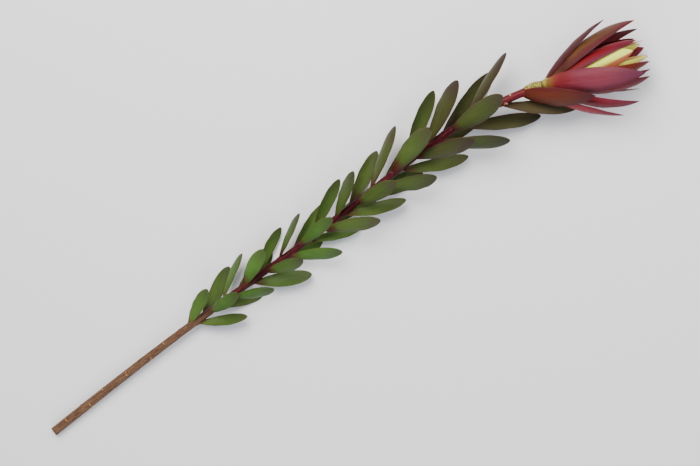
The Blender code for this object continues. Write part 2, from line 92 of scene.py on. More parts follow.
def rings(rows: Array, count: int) -> tuple[Array, Array]:
    """Grid of the rows' values and of even angles round each row."""
    return np.meshgrid(rows, 2.0 * np.pi * np.arange(count) / count, indexing="ij")


def running_line(start: Array, directions: Array, step: float) -> Array:
    """Line from a start: the running sum of the mean of each two directions, times the step."""
    steps = 0.5 * (directions[1:] + directions[:-1]) * step
    return start + np.vstack([np.zeros(3), np.cumsum(steps, 0)])


def on_line(at: Array, marks: Array, points: Array) -> Array:
    """Points of a line at given places, by straight interpolation between its marks."""
    return np.stack([np.interp(at, marks, points[:, k]) for k in range(3)], -1)


def angle_in(rng: random.Random, degrees: Range) -> float:
    """Angle in radians, drawn evenly from a range in degrees."""
    return math.radians(rng.uniform(*degrees))


def linear(colour: Colour) -> Array:
    """Linear light of a screen colour given from 0 to 255, with an alpha of 1."""
    share = np.array(colour) / 255.0
    light = np.where(share <= 0.04045, share / 12.92, ((share + 0.055) / 1.055) ** 2.4)
    return np.append(light, 1.0)


@dataclass(frozen=True)
class StemSizes:
    """Sizes of the stem and of its lie, measured along its centre line from the cut end."""

    length: float = 515.0 * MM
    cut_radius: float = 3.75 * MM
    middle_radius: float = 2.65 * MM
    neck_radius: float = 3.2 * MM
    middle_at: float = 300.0 * MM
    cut_slant: float = math.radians(24.0)
    first_ring: float = 515.0 * MM / 33
    cut_pitch: float = math.radians(1.5)
    head_pitch: float = math.radians(3.1)
    head_yaw: float = math.radians(-16.0)
    bend_from: float = 380.0 * MM
    bend_to: float = 530.0 * MM
    sway: float = math.radians(1.3)
    sway_length: float = 340.0 * MM
    sway_phase: float = 0.8
    path_length: float = 620.0 * MM
    path_samples: int = 621
    origin_x: float = 298.94 * MM
    origin_y: float = -18.56 * MM
    collar_at: float = 507.0 * MM
    collar_length: float = 11.0 * MM
    collar_swell: float = 0.8 * MM

    def radius(self, s: Array) -> Array:
        """Radius of the stem.

        It falls by a cubic step from the cut end to the middle, rises by another to the neck, and has
        a bell-shaped swelling at the collar.

        Args:
            s: Distance from the cut end.

        Returns:
            The radius, in the shape of s.
        """
        low = self.cut_radius + (self.middle_radius - self.cut_radius) * smooth_step(s / self.middle_at)
        rise = smooth_step((s - self.middle_at) / (self.length - self.middle_at))
        high = (self.neck_radius - self.middle_radius) * rise
        return low + high + self.collar_swell * bell((s - self.collar_at) / (0.5 * self.collar_length))


SIZES = StemSizes()


class StemPath:
    """Centre line of the stem: the running sum of its direction, whose pitch and yaw follow steps."""

    def __init__(self, sizes: StemSizes) -> None:
        """Works out pitch, yaw and points at even steps; a slow sine sways the yaw.

        Args:
            sizes: Sizes of the stem.
        """
        s = np.linspace(0.0, sizes.path_length, sizes.path_samples)
        self.s = s
        self.pitch = sizes.cut_pitch + (sizes.head_pitch - sizes.cut_pitch) * smooth_step(s / sizes.length)
        yaw = sizes.head_yaw * smooth_step((s - sizes.bend_from) / (sizes.bend_to - sizes.bend_from))
        self.yaw = yaw + sizes.sway * np.sin(2.0 * np.pi * s / sizes.sway_length + sizes.sway_phase)
        start = np.array([-sizes.origin_x, -sizes.origin_y, sizes.cut_radius])
        self.points = running_line(start, self.directions(s)[0], s[1] - s[0])

    def point(self, s: Array) -> Array:
        """Centre of the stem at s, with one more axis of length 3."""
        return on_line(s, self.s, self.points)

    def directions(self, s: Array) -> tuple[Array, Array, Array]:
        """Unit directions: cos(pitch) (cos(yaw), sin(yaw)), sin(pitch), and two square to it.

        Args:
            s: Distance from the cut end, a number or an array.

        Returns:
            The directions along the stem, up from it and to its left.
        """
        yaw = np.interp(s, self.s, self.yaw)
        pitch = np.interp(s, self.s, self.pitch)
        along = np.stack([np.cos(pitch) * np.cos(yaw), np.cos(pitch) * np.sin(yaw), np.sin(pitch)], -1)
        left = np.stack([-np.sin(yaw), np.cos(yaw), np.zeros_like(yaw)], -1)
        return along, np.cross(along, left), left

    def round(self, s: Array, radius: Array, azimuth: Array, setback: Array | float = 0.0) -> Array:
        """Points round the stem: centre + radius (cos(azimuth) up + sin(azimuth) left) + setback along.

        Args:
            s: Distance from the cut end, one row for each loop.
            radius: Distance from the centre line.
            azimuth: Angle round the stem, from the top towards the left.
            setback: Shift along the stem.

        Returns:
            The points, with one more axis of length 3; none lies under the surface.
        """
        along, up, left = self.directions(s)
        out = np.cos(azimuth)[..., None] * up + np.sin(azimuth)[..., None] * left
        shift = np.broadcast_to(setback, s.shape)[..., None] * along
        points = self.point(s) + np.asarray(radius)[..., None] * out + shift
        points[..., 2] = np.maximum(points[..., 2], 0.0)
        return points


PATH = StemPath(SIZES)


@dataclass(frozen=True)
class Outline:
    """Width of a blade along its length: base share, and the powers of its rise and fall."""

    base: float
    rise: float
    fall: float

    def width(self, t: Array) -> Array:
        """Share of the full width: base (1 - t)^2 + t^rise (1 - t)^fall, over the peak of the latter.

        Args:
            t: Position from 0 at the root to 1 at the tip.

        Returns:
            The share, in the shape of t.
        """
        peak_at = self.rise / (self.rise + self.fall)
        peak = peak_at**self.rise * (1.0 - peak_at) ** self.fall
        inner = np.clip(t, 0.0, 1.0)
        return self.base * (1.0 - inner) ** 2 + inner**self.rise * (1.0 - inner) ** self.fall / peak


LEAF_OUTLINE = Outline(base=0.20, rise=1.0, fall=0.6)
BRACT_OUTLINE = Outline(base=0.42, rise=0.8, fall=0.85)
PALE_OUTLINE = Outline(base=0.36, rise=0.9, fall=0.85)
STUB_OUTLINE = Outline(base=0.9, rise=0.9, fall=1.2)
CONE_OUTLINE = Outline(base=0.8, rise=0.7, fall=0.6)


@dataclass(frozen=True)
class Blade:
    """One leaf, bract or scale: where it grows, its size, its angles from the stem and its cupping."""

    at: float
    azimuth: float
    length: float
    width: float
    angle_root: float
    angle_tip: float
    outline: Outline
    side_root: float = 0.0
    side_tip: float = 0.0
    roll: float = 0.0
    cup: float = 1.0
    cup_root: float = 1.0
    root_radius: float = 1.5 * MM


@dataclass(frozen=True)
class BladeRule:
    """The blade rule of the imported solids, with its thickness and the way it rests on the surface."""

    midrib: float = 0.9 * MM
    edge: float = 0.6 * MM
    tip_width: float = 1.4 * MM
    softness: float = 3.0 * MM
    samples: int = 65
    step: float = 0.002

    def rest(self, z: Array) -> Array:
        """Height after a blade bends to lie flat: a parabola joins its free part to its flat part.

        Args:
            z: Height before.

        Returns:
            The height, in the shape of z.
        """
        flat = 0.5 * self.midrib
        depth = z - flat
        eased = flat + (depth + self.softness) ** 2 / (4.0 * self.softness)
        return np.where(depth > self.softness, z, np.where(depth < -self.softness, flat, eased))

    def surface(self, blade: Blade, t: Array, v: Array, least: float) -> Array:
        """Middle surface of a blade.

        The midrib is the running sum of its direction, which turns evenly from the root's angle to the
        tip's. Each cross line is an arc of the cup's curvature, rolled about the midrib: it goes
        sin(turn) / curvature across and (1 - cos(turn)) / curvature towards the stem.

        Args:
            blade: The blade.
            t: Position from 0 at the root to 1 at the tip.
            v: Position across, from -1 at one edge to 1 at the other.
            least: Smallest width of a cross line.

        Returns:
            The points, with one more axis of length 3.
        """
        along, up, left = PATH.directions(blade.at)
        out = math.cos(blade.azimuth) * up + math.sin(blade.azimuth) * left
        side = -math.sin(blade.azimuth) * up + math.cos(blade.azimuth) * left

        def turned(u: Array) -> tuple[Array, Array, Array]:
            """Directions forward, across and inward at u along the blade."""
            angle = (blade.angle_root + (blade.angle_tip - blade.angle_root) * u)[..., None]
            lean = (blade.side_root + (blade.side_tip - blade.side_root) * u)[..., None]
            straight = np.cos(angle) * along + np.sin(angle) * out
            inward = np.sin(angle) * along - np.cos(angle) * out
            across = np.cos(lean) * side - np.sin(lean) * straight
            forward = np.cos(lean) * straight + np.sin(lean) * side
            rolled = math.cos(blade.roll) * across + math.sin(blade.roll) * inward
            return forward, rolled, math.cos(blade.roll) * inward - math.sin(blade.roll) * across

        marks = np.linspace(-self.step, 1.0 + self.step, self.samples)
        root = PATH.point(blade.at) + out * blade.root_radius
        rib = running_line(root, turned(marks)[0], (marks[1] - marks[0]) * blade.length)
        _, across, inward = turned(t)
        width = np.maximum(blade.width * blade.outline.width(t), least)
        curve = blade.cup + (blade.cup_root - blade.cup) * (1.0 - np.clip(t, 0.0, 1.0)) ** 3
        turn = 0.5 * v * width * curve
        points = on_line(t, marks, rib) + across * (np.sin(turn) / curve)[..., None]
        points = points + inward * ((1.0 - np.cos(turn)) / curve)[..., None]
        points[..., 2] = self.rest(points[..., 2])
        return points

    def normals(self, blade: Blade, t: Array, v: Array) -> Array:
        """Unit normals away from the stem: the cross product of small steps along and across.

        Args:
            blade: The blade.
            t: Position from 0 at the root to 1 at the tip.
            v: Position across, from -1 at one edge to 1 at the other.

        Returns:
            The normals, with one more axis of length 3.
        """
        low = np.minimum(t, 1.0 - 2.0 * self.step)
        places = ((low + self.step, v), (low - self.step, v), (t, v + self.step), (t, v - self.step))
        ahead, behind, right, left = (self.surface(blade, *place, self.tip_width) for place in places)
        normal = np.cross(ahead - behind, right - left)
        return normal / np.linalg.norm(normal, axis=-1, keepdims=True)


RULE = BladeRule()


@dataclass(frozen=True)
class Loft:
    """Closed skin through a row of loops, with a pole at each end, and values carried by its points."""

    loops: Array
    values: dict[str, Array]

    @staticmethod
    def with_poles(grid: Array) -> Array:
        """List of a grid's entries row by row, then the mean of its first row and of its last row.

        Args:
            grid: Numbers, vectors or colours at the points of the loops.

        Returns:
            The list, one line for each point.
        """
        rows = grid.reshape(*grid.shape[:2], -1)
        ends = [rows[0].mean(0)[None], rows[-1].mean(0)[None]]
        return np.vstack([rows.reshape(-1, rows.shape[-1]), *ends])

    def faces(self) -> tuple[Array, Array]:
        """Corner numbers of the skin, turned so that the faces point out.

        Quads join each loop to the next, and a fan of triangles joins each end loop to its pole. The
        signed volume, a sixth of the sum of a . (b x c) over the triangles, shows which way they turn.

        Returns:
            The quads, four numbers each, and the triangles, three numbers each.
        """
        rows, around = self.loops.shape[:2]
        number = np.arange(rows * around).reshape(rows, around)
        ahead = np.roll(number, -1, 1)
        quads = np.stack([number[:-1], ahead[:-1], ahead[1:], number[1:]], -1).reshape(-1, 4)
        first = np.stack([ahead[0], number[0], np.full(around, rows * around)], -1)
        last = np.stack([number[-1], ahead[-1], np.full(around, rows * around + 1)], -1)
        fans = np.vstack([first, last])
        a, b, c = np.moveaxis(
            self.with_poles(self.loops)[np.vstack([quads[:, [0, 1, 2]], quads[:, [0, 2, 3]], fans])], 1, 0
        )
        if np.einsum("ij,ij->i", a, np.cross(b, c)).sum() < 0.0:
            quads, fans = quads[:, ::-1], fans[:, ::-1]
        return quads, fans


@dataclass(frozen=True)
class Piece:
    """Makes one named mesh object from lofts, gives it its material and hides the imported CAD node that it
    stands for.
    """

    name: str
    node: str
    slot: str
    material: bpy.types.Material

    def make(self, lofts: list[Loft]) -> None:
        """Joins the lofts in one mesh, in place, and lets it ride on the root.

        Args:
            lofts: The skins of the piece, which all carry the same values.
        """
        points = [Loft.with_poles(loft.loops) for loft in lofts]
        starts = np.cumsum([0] + [len(here) for here in points])
        faces = [loft.faces() for loft in lofts]
        quads = np.vstack([four + start for (four, _), start in zip(faces, starts)])
        fans = np.vstack([three + start for (_, three), start in zip(faces, starts)])
        mesh = bpy.data.meshes.new(self.name)
        mesh.vertices.add(starts[-1])
        mesh.vertices.foreach_set("co", np.vstack(points).astype(np.float32).ravel())
        mesh.loops.add(quads.size + fans.size)
        corners = np.concatenate([quads.ravel(), fans.ravel()])
        mesh.loops.foreach_set("vertex_index", corners.astype(np.int32))
        first = np.concatenate([np.arange(len(quads)) * 4, quads.size + np.arange(len(fans)) * 3])
        mesh.polygons.add(len(first))
        mesh.polygons.foreach_set("loop_start", first.astype(np.int32))
        mesh.update(calc_edges=True)
        mesh.shade_smooth()
        for key in lofts[0].values:
            values = np.vstack([Loft.with_poles(loft.values[key]) for loft in lofts])
            kind, item = ATTRIBUTE_KINDS[values.shape[-1]]
            layer = mesh.attributes.new(key, kind, "POINT")
            layer.data.foreach_set(item, values.astype(np.float32).ravel())
        mesh.materials.append(self.material)
        made = bpy.data.objects.new(self.name, mesh)
        bpy.context.scene.collection.objects.link(made)
        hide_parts(self.node)
        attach(made, "root")
        LOG.info("%s: %d skins, %d triangles", self.name, len(lofts), 2 * len(quads) + len(fans))


class Step(Enum):
    """Operations of a math node."""

    ADD = "ADD"
    MULTIPLY = "MULTIPLY"
    ABSOLUTE = "ABSOLUTE"
    COSINE = "COSINE"


class ShaderSheet:
    """Adds nodes to one new material. Its methods return the socket that carries their result."""

    def __init__(self, name: str) -> None:
        """Starts a material with its Principled shader.

        Args:
            name: Name of the material.
        """
        self.material = bpy.data.materials.new(name)
        self.material.use_nodes = True
        self.tree = self.material.node_tree
        self.shader = self.tree.nodes["Principled BSDF"]

    def feed(self, target: Socket, value: Value) -> None:
        """Links a socket to a target, or sets the target.

        Args:
            target: The input.
            value: A socket, a number, a vector or a colour.
        """
        if isinstance(value, Socket):
            self.tree.links.new(value, target)
        else:
            target.default_value = value

    def node(self, kind: str, inputs: dict[str | int, Value], **options: str) -> bpy.types.Node:
        """Adds a node.

        Args:
            kind: End of the name of the node's type.
            inputs: What each input gets, by its name or number.
            options: Settings of the node.

        Returns:
            The node.
        """
        node = self.tree.nodes.new("ShaderNode" + kind)
        for key, value in options.items():
            setattr(node, key, value)
        for key, value in inputs.items():
            self.feed(node.inputs[key], value)
        return node

    def number(self, name: str) -> Socket:
        """The number that the mesh's points carry under a name."""
        return self.node("Attribute", {}, attribute_name=name).outputs["Fac"]

    def colour(self, name: str) -> Socket:
        """The colour that the mesh's points carry under a name."""
        return self.node("Attribute", {}, attribute_name=name).outputs["Color"]

    def grain(self, scale: Triple) -> Socket:
        """The surface's own position in millimetres, stretched by a scale on each axis."""
        place = self.node("Attribute", {}, attribute_name="grain").outputs["Vector"]
        return self.node("Mapping", {"Vector": place, "Scale": scale}).outputs["Vector"]

    def noise(self, scale: Triple, detail: float = 3.0) -> Socket:
        """Noise from 0 to 1 over the stretched grain."""
        inputs = {"Vector": self.grain(scale), "Scale": 1.0, "Detail": detail}
        return self.node("TexNoise", inputs).outputs["Fac"]

    def spots(self, scale: Triple) -> Socket:
        """Distance from the nearest of many scattered points in the stretched grain."""
        return self.node("TexVoronoi", {"Vector": self.grain(scale), "Scale": 1.0}).outputs["Distance"]

    def math(self, step: Step, first: Value, *more: Value) -> Socket:
        """Numbers run through one operation, two at a time from the left.

        Args:
            step: The operation.
            first: The first number.
            more: The others, if the operation takes more than one.

        Returns:
            The result.
        """
        for second in more or (0.0,):
            first = self.node("Math", {0: first, 1: second}, operation=step.value).outputs[0]
        return first

    def span(self, value: Value, low: float, high: float, to: Range = (0.0, 1.0)) -> Socket:
        """Smooth step of a value from one range to another.

        Args:
            value: The number to map.
            low: Value that gives the first end of the new range.
            high: Value that gives the other end.
            to: Both ends of the new range.

        Returns:
            The mapped number.
        """
        names = ("Value", "From Min", "From Max", "To Min", "To Max")
        inputs = dict(zip(names, (value, low, high, *to)))
        return self.node("MapRange", inputs, interpolation_type="SMOOTHSTEP").outputs["Result"]

    def swing(self, noise: Socket, middle: float, reach: float, inset: float = 0.25) -> Socket:
        """Noise spread over the range from (middle - reach) to (middle + reach)."""
        return self.span(noise, inset, 1.0 - inset, (middle - reach, middle + reach))

    def layered(self, colour: Value, *layers: tuple[Value, Value]) -> Socket:
        """Colour under layers: each gives (1 - share) of what is below it and share of its own.

        Args:
            colour: The lowest colour, a socket or a screen colour, as each layer's is.
            layers: Share and colour of each layer, from the lowest up.

        Returns:
            The colour on top.
        """
        for share, over in layers:
            below, above = (c if isinstance(c, Socket) else linear(c) for c in (colour, over))
            colour = self.node("Mix", {0: share, 6: below, 7: above}, data_type="RGBA").outputs[2]
        return colour

    def shaded(self, colour: Socket, light: Socket) -> Socket:
        """Colour made brighter or darker by a number near 1."""
        return self.node("VectorMath", {0: colour, "Scale": light}, operation="SCALE").outputs[0]

    def finish(
        self, colour: Socket, roughness: Socket, height: Socket, relief: float, **plain: float
    ) -> bpy.types.Material:
        """Links the shader's varied inputs and sets its plain ones.

        Args:
            colour: Base colour.
            roughness: Roughness over the surface.
            height: Height of the bumps, as a share of the relief.
            relief: Full height of the bumps, in metres.
            plain: Values of the shader's other sockets, whose names have _ for each space.

        Returns:
            The material.
        """
        normal = self.node("Bump", {"Height": height, "Distance": relief}).outputs["Normal"]
        varied = {"Base Color": colour, "Roughness": roughness, "Normal": normal}
        fixed = {key.replace("_", " "): value for key, value in plain.items()}
        for key, value in {**varied, **fixed, "Subsurface Radius": (1.0, 0.45, 0.25)}.items():
            self.feed(self.shader.inputs[key], value)
        return self.material


@dataclass(frozen=True)
class Tint:
    """The five screen colours that a blade runs through, each from 0 to 255."""

    body: Colour
    margin: Colour
    tip: Colour
    base: Colour
    root: Colour

    def mixed(self, other: "Tint", share: float) -> "Tint":
        """Tint that is (1 - share) of this one and share of the other."""
        pairs = zip(astuple(self), astuple(other))
        return Tint(*[tuple(a + (b - a) * share for a, b in zip(*pair)) for pair in pairs])

    def lit(self, light: float) -> "Tint":
        """The same tint, brighter or darker by a factor."""
        return Tint(*[(0, 0, 0)] * 5).mixed(self, light)

    def values(self, shape: tuple[int, int]) -> dict[str, Array]:
        """The five colours in linear light, spread over a grid of points."""
        return {key: np.broadcast_to(linear(colour), (*shape, 4)) for key, colour in asdict(self).items()}


GREEN_LEAF = Tint((70, 104, 38), (66, 94, 36), (62, 76, 40), (84, 44, 34), (80, 14, 28))
OLIVE_LEAF = Tint((73, 68, 33), (64, 43, 33), (62, 38, 40), (78, 26, 28), (78, 12, 24))
MAROON_LEAF = Tint((86, 48, 36), (76, 26, 32), (66, 32, 42), (92, 18, 30), (84, 14, 26))
COLLAR_STUB = Tint((184, 176, 84), (172, 150, 76), (208, 172, 120), (166, 158, 72), (120, 106, 44))
SCAR_CHIP = Tint((206, 160, 112), (190, 120, 90), (214, 176, 130), (190, 110, 82), (140, 40, 44))
CONE_SCALE = Tint((170, 170, 74), (176, 146, 74), (160, 98, 56), (140, 148, 62), (120, 128, 54))


class BractTint(Enum):
    """Named tints of the bracts in the head."""

    ROSE = Tint((117, 45, 60), (90, 26, 46), (84, 38, 60), (118, 32, 38), (138, 112, 52))
    SCARLET = Tint((118, 16, 28), (88, 18, 40), (92, 22, 40), (118, 28, 28), (150, 84, 42))
    CRIMSON = Tint((132, 34, 48), (108, 22, 38), (96, 30, 50), (120, 26, 32), (124, 52, 38))
    # painted shade: a darker copy of the crimson tint that stands in for the shade on the outer whorl's left
    # bract
    WINE = Tint((62, 6, 12), (52, 4, 12), (56, 12, 20), (60, 8, 12), (92, 40, 28))
    OLIVE = Tint((80, 48, 22), (70, 12, 26), (74, 22, 30), (68, 26, 20), (108, 78, 38))
    ORANGE = Tint((128, 60, 30), (108, 32, 34), (104, 38, 42), (124, 64, 32), (140, 98, 46))
    NECK = Tint((86, 36, 20), (72, 18, 22), (62, 14, 24), (80, 30, 20), (86, 20, 22))
    BASAL = Tint((138, 118, 50), (132, 104, 46), (126, 88, 44), (140, 126, 54), (142, 134, 60))
    PALE = Tint((224, 236, 90), (154, 48, 58), (222, 224, 104), (214, 218, 84), (176, 180, 68))


@dataclass(frozen=True)
class BladeFinish:
    """Satin plant skin: lengthwise streaks, fine veins, mottling, small specks and a soft gloss.

    Grains are in 1/mm across and along the blade. Places run from 0 at the root to 1 at the tip, or
    from 0 at the rib to 1 at the edge, and a fade names the places where it starts and is full.
    """

    name: str
    inside: Colour
    inside_share: float = 0.25
    soft_grain: Triple = (0.10, 0.05, 1.0)
    fibre_grain: Triple = (2.2, 0.07, 1.0)
    fine_grain: Triple = (5.5, 0.25, 1.0)
    pore_grain: Triple = (4.0, 4.0, 1.0)
    spot_grain: Triple = (0.35, 0.35, 1.0)
    wander: float = 0.16
    fray: float = 0.09
    tip_fade: Range = (0.55, 1.0)
    tip_share: float = 0.92
    base_fade: Range = (0.30, 0.04)
    root_fade: Range = (0.10, -0.02)
    streak: float = 0.10
    mottle: float = 0.14
    grit: float = 0.05
    rim_from: float = 0.45
    rim_width: float = 0.6
    rim_share: float = 0.9
    lean: float = 0.0
    nerves: float = 3.5
    nerve_from: float = 0.55
    nerve_light: float = 0.035
    lip: Colour = (104, 52, 42)
    lip_fade: Range = (0.93, 0.985)
    lip_share: float = 0.25
    speck_from: float = 0.06
    speck: Colour = (46, 26, 22)
    callus: Colour = (58, 28, 26)
    callus_fade: Range = (0.974, 0.99)
    dark_share: float = 0.85
    rib_place: float = 0.09
    rib_light: float = 0.12
    roughness: Range = (0.44, 0.58)
    vein_height: float = 0.05 * MM
    subsurface: float = 0.12
    coat: float = 0.0
    gloss: float = 0.19

    def rim_fade(self) -> Range:
        """Places across where the margin's colour starts and is full."""
        return self.rim_from, self.rim_from + self.rim_width

    def material(self) -> bpy.types.Material:
        """Colour runs from base to body to tip along the blade, and then to the margin's across it.

        Returns:
            The material, which reads the blade's own values.
        """
        sheet = ShaderSheet(self.name)
        add, times = Step.ADD, Step.MULTIPLY
        along, across = sheet.number("along"), sheet.number("across")
        from_rib = sheet.math(Step.ABSOLUTE, across)
        soft, fibre = sheet.noise(self.soft_grain), sheet.noise(self.fibre_grain)
        fine, pore = sheet.noise(self.fine_grain, 2.0), sheet.noise(self.pore_grain, 2.0)
        wander = sheet.swing(soft, 0.0, self.wander, 0.2)
        drift = sheet.math(add, wander, sheet.swing(fibre, 0.0, self.fray, 0.2))
        rim = sheet.math(add, from_rib, sheet.math(times, across, along, self.lean), drift)
        place = sheet.math(add, along, sheet.math(times, drift, 0.6))
        low = sheet.math(add, along, sheet.math(times, drift, 0.2))
        nerve_place = sheet.math(add, from_rib, sheet.math(times, wander, 0.25))
        wave = sheet.math(Step.COSINE, sheet.math(times, nerve_place, 2.0 * math.pi * self.nerves))
        nerve = sheet.span(wave, self.nerve_from, 1.0)
        colour = sheet.layered(
            sheet.colour("body"),
            (sheet.span(place, *self.tip_fade, (0.0, self.tip_share)), sheet.colour("tip")),
            (sheet.span(rim, *self.rim_fade(), (0.0, self.rim_share)), sheet.colour("margin")),
            (sheet.span(place, *self.base_fade), sheet.colour("base")),
            (sheet.span(low, *self.root_fade), sheet.colour("root")),
            (sheet.math(times, sheet.number("inner"), self.inside_share), self.inside),
        )
        light = sheet.math(
            times,
            sheet.span(from_rib, self.rib_place, 0.0, (1.0, 1.0 + self.rib_light)),
            sheet.span(nerve, 0.0, 1.0, (1.0, 1.0 + self.nerve_light)),
            sheet.swing(fibre, 1.0, self.streak),
            sheet.swing(soft, 1.0, self.mottle),
            sheet.swing(pore, 1.0, self.grit),
        )
        dark = (0.0, self.dark_share)
        speck = sheet.span(sheet.spots(self.spot_grain), self.speck_from, 0.4 * self.speck_from, dark)
        colour = sheet.layered(
            sheet.shaded(colour, light),
            (speck, self.speck),
            (sheet.span(from_rib, *self.lip_fade, (0.0, self.lip_share)), self.lip),
            (sheet.span(along, *self.callus_fade, dark), self.callus),
        )
        return sheet.finish(
            colour,
            sheet.span(sheet.math(add, fine, soft), 0.6, 1.4, self.roughness),
            sheet.math(add, fine, fibre, sheet.math(times, nerve, 0.6), pore),
            self.vein_height,
            Subsurface_Weight=self.subsurface,
            Subsurface_Scale=0.8 * MM,
            Coat_Weight=self.coat,
            Coat_Roughness=0.3,
            Specular_IOR_Level=self.gloss,
        )


@dataclass(frozen=True)
class BladeForm:
    """How fine blades differ from the plain rule: thinner, with a rib, wavy margins and a round tip."""

    rows: int = 36
    around: int = 28
    middle: float = 0.62 * MM
    edge: float = 0.36 * MM
    crowding: float = 1.6
    roundness: float = 0.4
    tip_power: float = 30.0
    tip_thinning: float = 0.25
    base_swell: float = 0.8
    base_length: float = 0.06
    rib_height: float = 0.13 * MM
    rib_width: float = 0.75 * MM
    ripple: float = 0.2 * MM
    edge_inset: float = 0.025
    edge_wave: float = 0.008
    notch_depth: float = 0.1
    notch_length: float = 0.014
    notch_chance: float = 0.15
    notch_places: Range = (0.35, 0.9)
    wave_turns: Range = (2.0, 4.5)
    root_sink: float = 0.0
    root_length: float = 0.03

    def loft(self, blade: Blade, tint: Tint, rng: random.Random) -> Loft:
        """Closed skin of one blade.

        Round each loop, the place across is -cos(angle) and the share of the thickness is
        sin(angle) to a low power, which gives even faces and round edges. The rib is a bell across
        the middle, the ripple grows with the cube of the distance from the rib, and the tip closes
        by the root of 1 - t^power. The outer face sinks by their heights, so that it stays within
        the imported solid's, and the root sinks by exp(-t / length) into what carries it.

        Args:
            blade: The blade.
            tint: Its colours.
            rng: Source of its small differences.

        Returns:
            The skin, with its own values for the finish.
        """
        t, angle = rings(1.0 - (1.0 - np.linspace(0.0, 1.0, self.rows)) ** self.crowding, self.around)
        share = np.sign(np.sin(angle)) * np.abs(np.sin(angle)) ** self.roundness
        plain = -np.cos(angle)
        right = 0.5 * (1.0 + plain)
        waves = [(rng.uniform(*self.wave_turns), rng.uniform(0.0, 6.3)) for _ in range(4)]
        swing = [np.sin(2.0 * np.pi * turns * t + phase) for turns, phase in waves]
        wave = (1.0 - right) * swing[0] + right * swing[1]
        v = plain * (1.0 - self.edge_inset - self.edge_wave * (1.0 - wave))
        notch_at, notch_side = rng.uniform(*self.notch_places), rng.choice((-1.0, 1.0))
        if rng.random() < self.notch_chance:
            bite = bell((t - notch_at) / self.notch_length) * smooth_step(notch_side * plain)
            v = v * (1.0 - self.notch_depth * bite)
        solid = 0.5 * (RULE.midrib - (RULE.midrib - RULE.edge) * plain**2)
        half = 0.5 * (self.middle - (self.middle - self.edge) * plain**2)
        half = half * (1.0 - self.tip_thinning * t) * (1.0 + self.base_swell * np.exp(-t / self.base_length))
        half = half * np.sqrt(np.clip(1.0 - t**self.tip_power, 0.0, 1.0))
        width = blade.width * blade.outline.width(t)
        rib = self.rib_height * bell(plain * 0.5 * width / self.rib_width) * (1.0 - t**4)
        ripple = self.ripple * np.abs(plain) ** 3 * np.sin(np.pi * t)
        ripple = ripple * ((1.0 - right) * swing[2] + right * swing[3])
        sink = self.rib_height + (self.ripple - self.rib_height) * np.abs(plain) ** 3
        sink = sink + self.root_sink * np.exp(-t / self.root_length)
        offset = solid - half + half * share + rib + ripple - sink
        points = RULE.surface(blade, t, v, 0.0) + RULE.normals(blade, t, plain) * offset[..., None]
        points[..., 2] = np.maximum(points[..., 2], 0.0)
        place = np.full_like(t, 31.0 * rng.random())
        grain = np.stack([0.5 * v * width / MM, t * blade.length / MM, place], -1)
        values = {"along": t, "across": plain, "inner": smooth_step(-2.0 * share), "grain": grain}
        return Loft(points, {**tint.values(t.shape), **values})


LEAF_FORM = BladeForm()
BRACT_FORM = BladeForm(rows=48, around=36, middle=0.6 * MM, edge=0.34 * MM)
SMALL_FORM = BladeForm(rows=12, around=14, middle=0.5 * MM, edge=0.3 * MM, ripple=0.1 * MM, notch_chance=0.0)


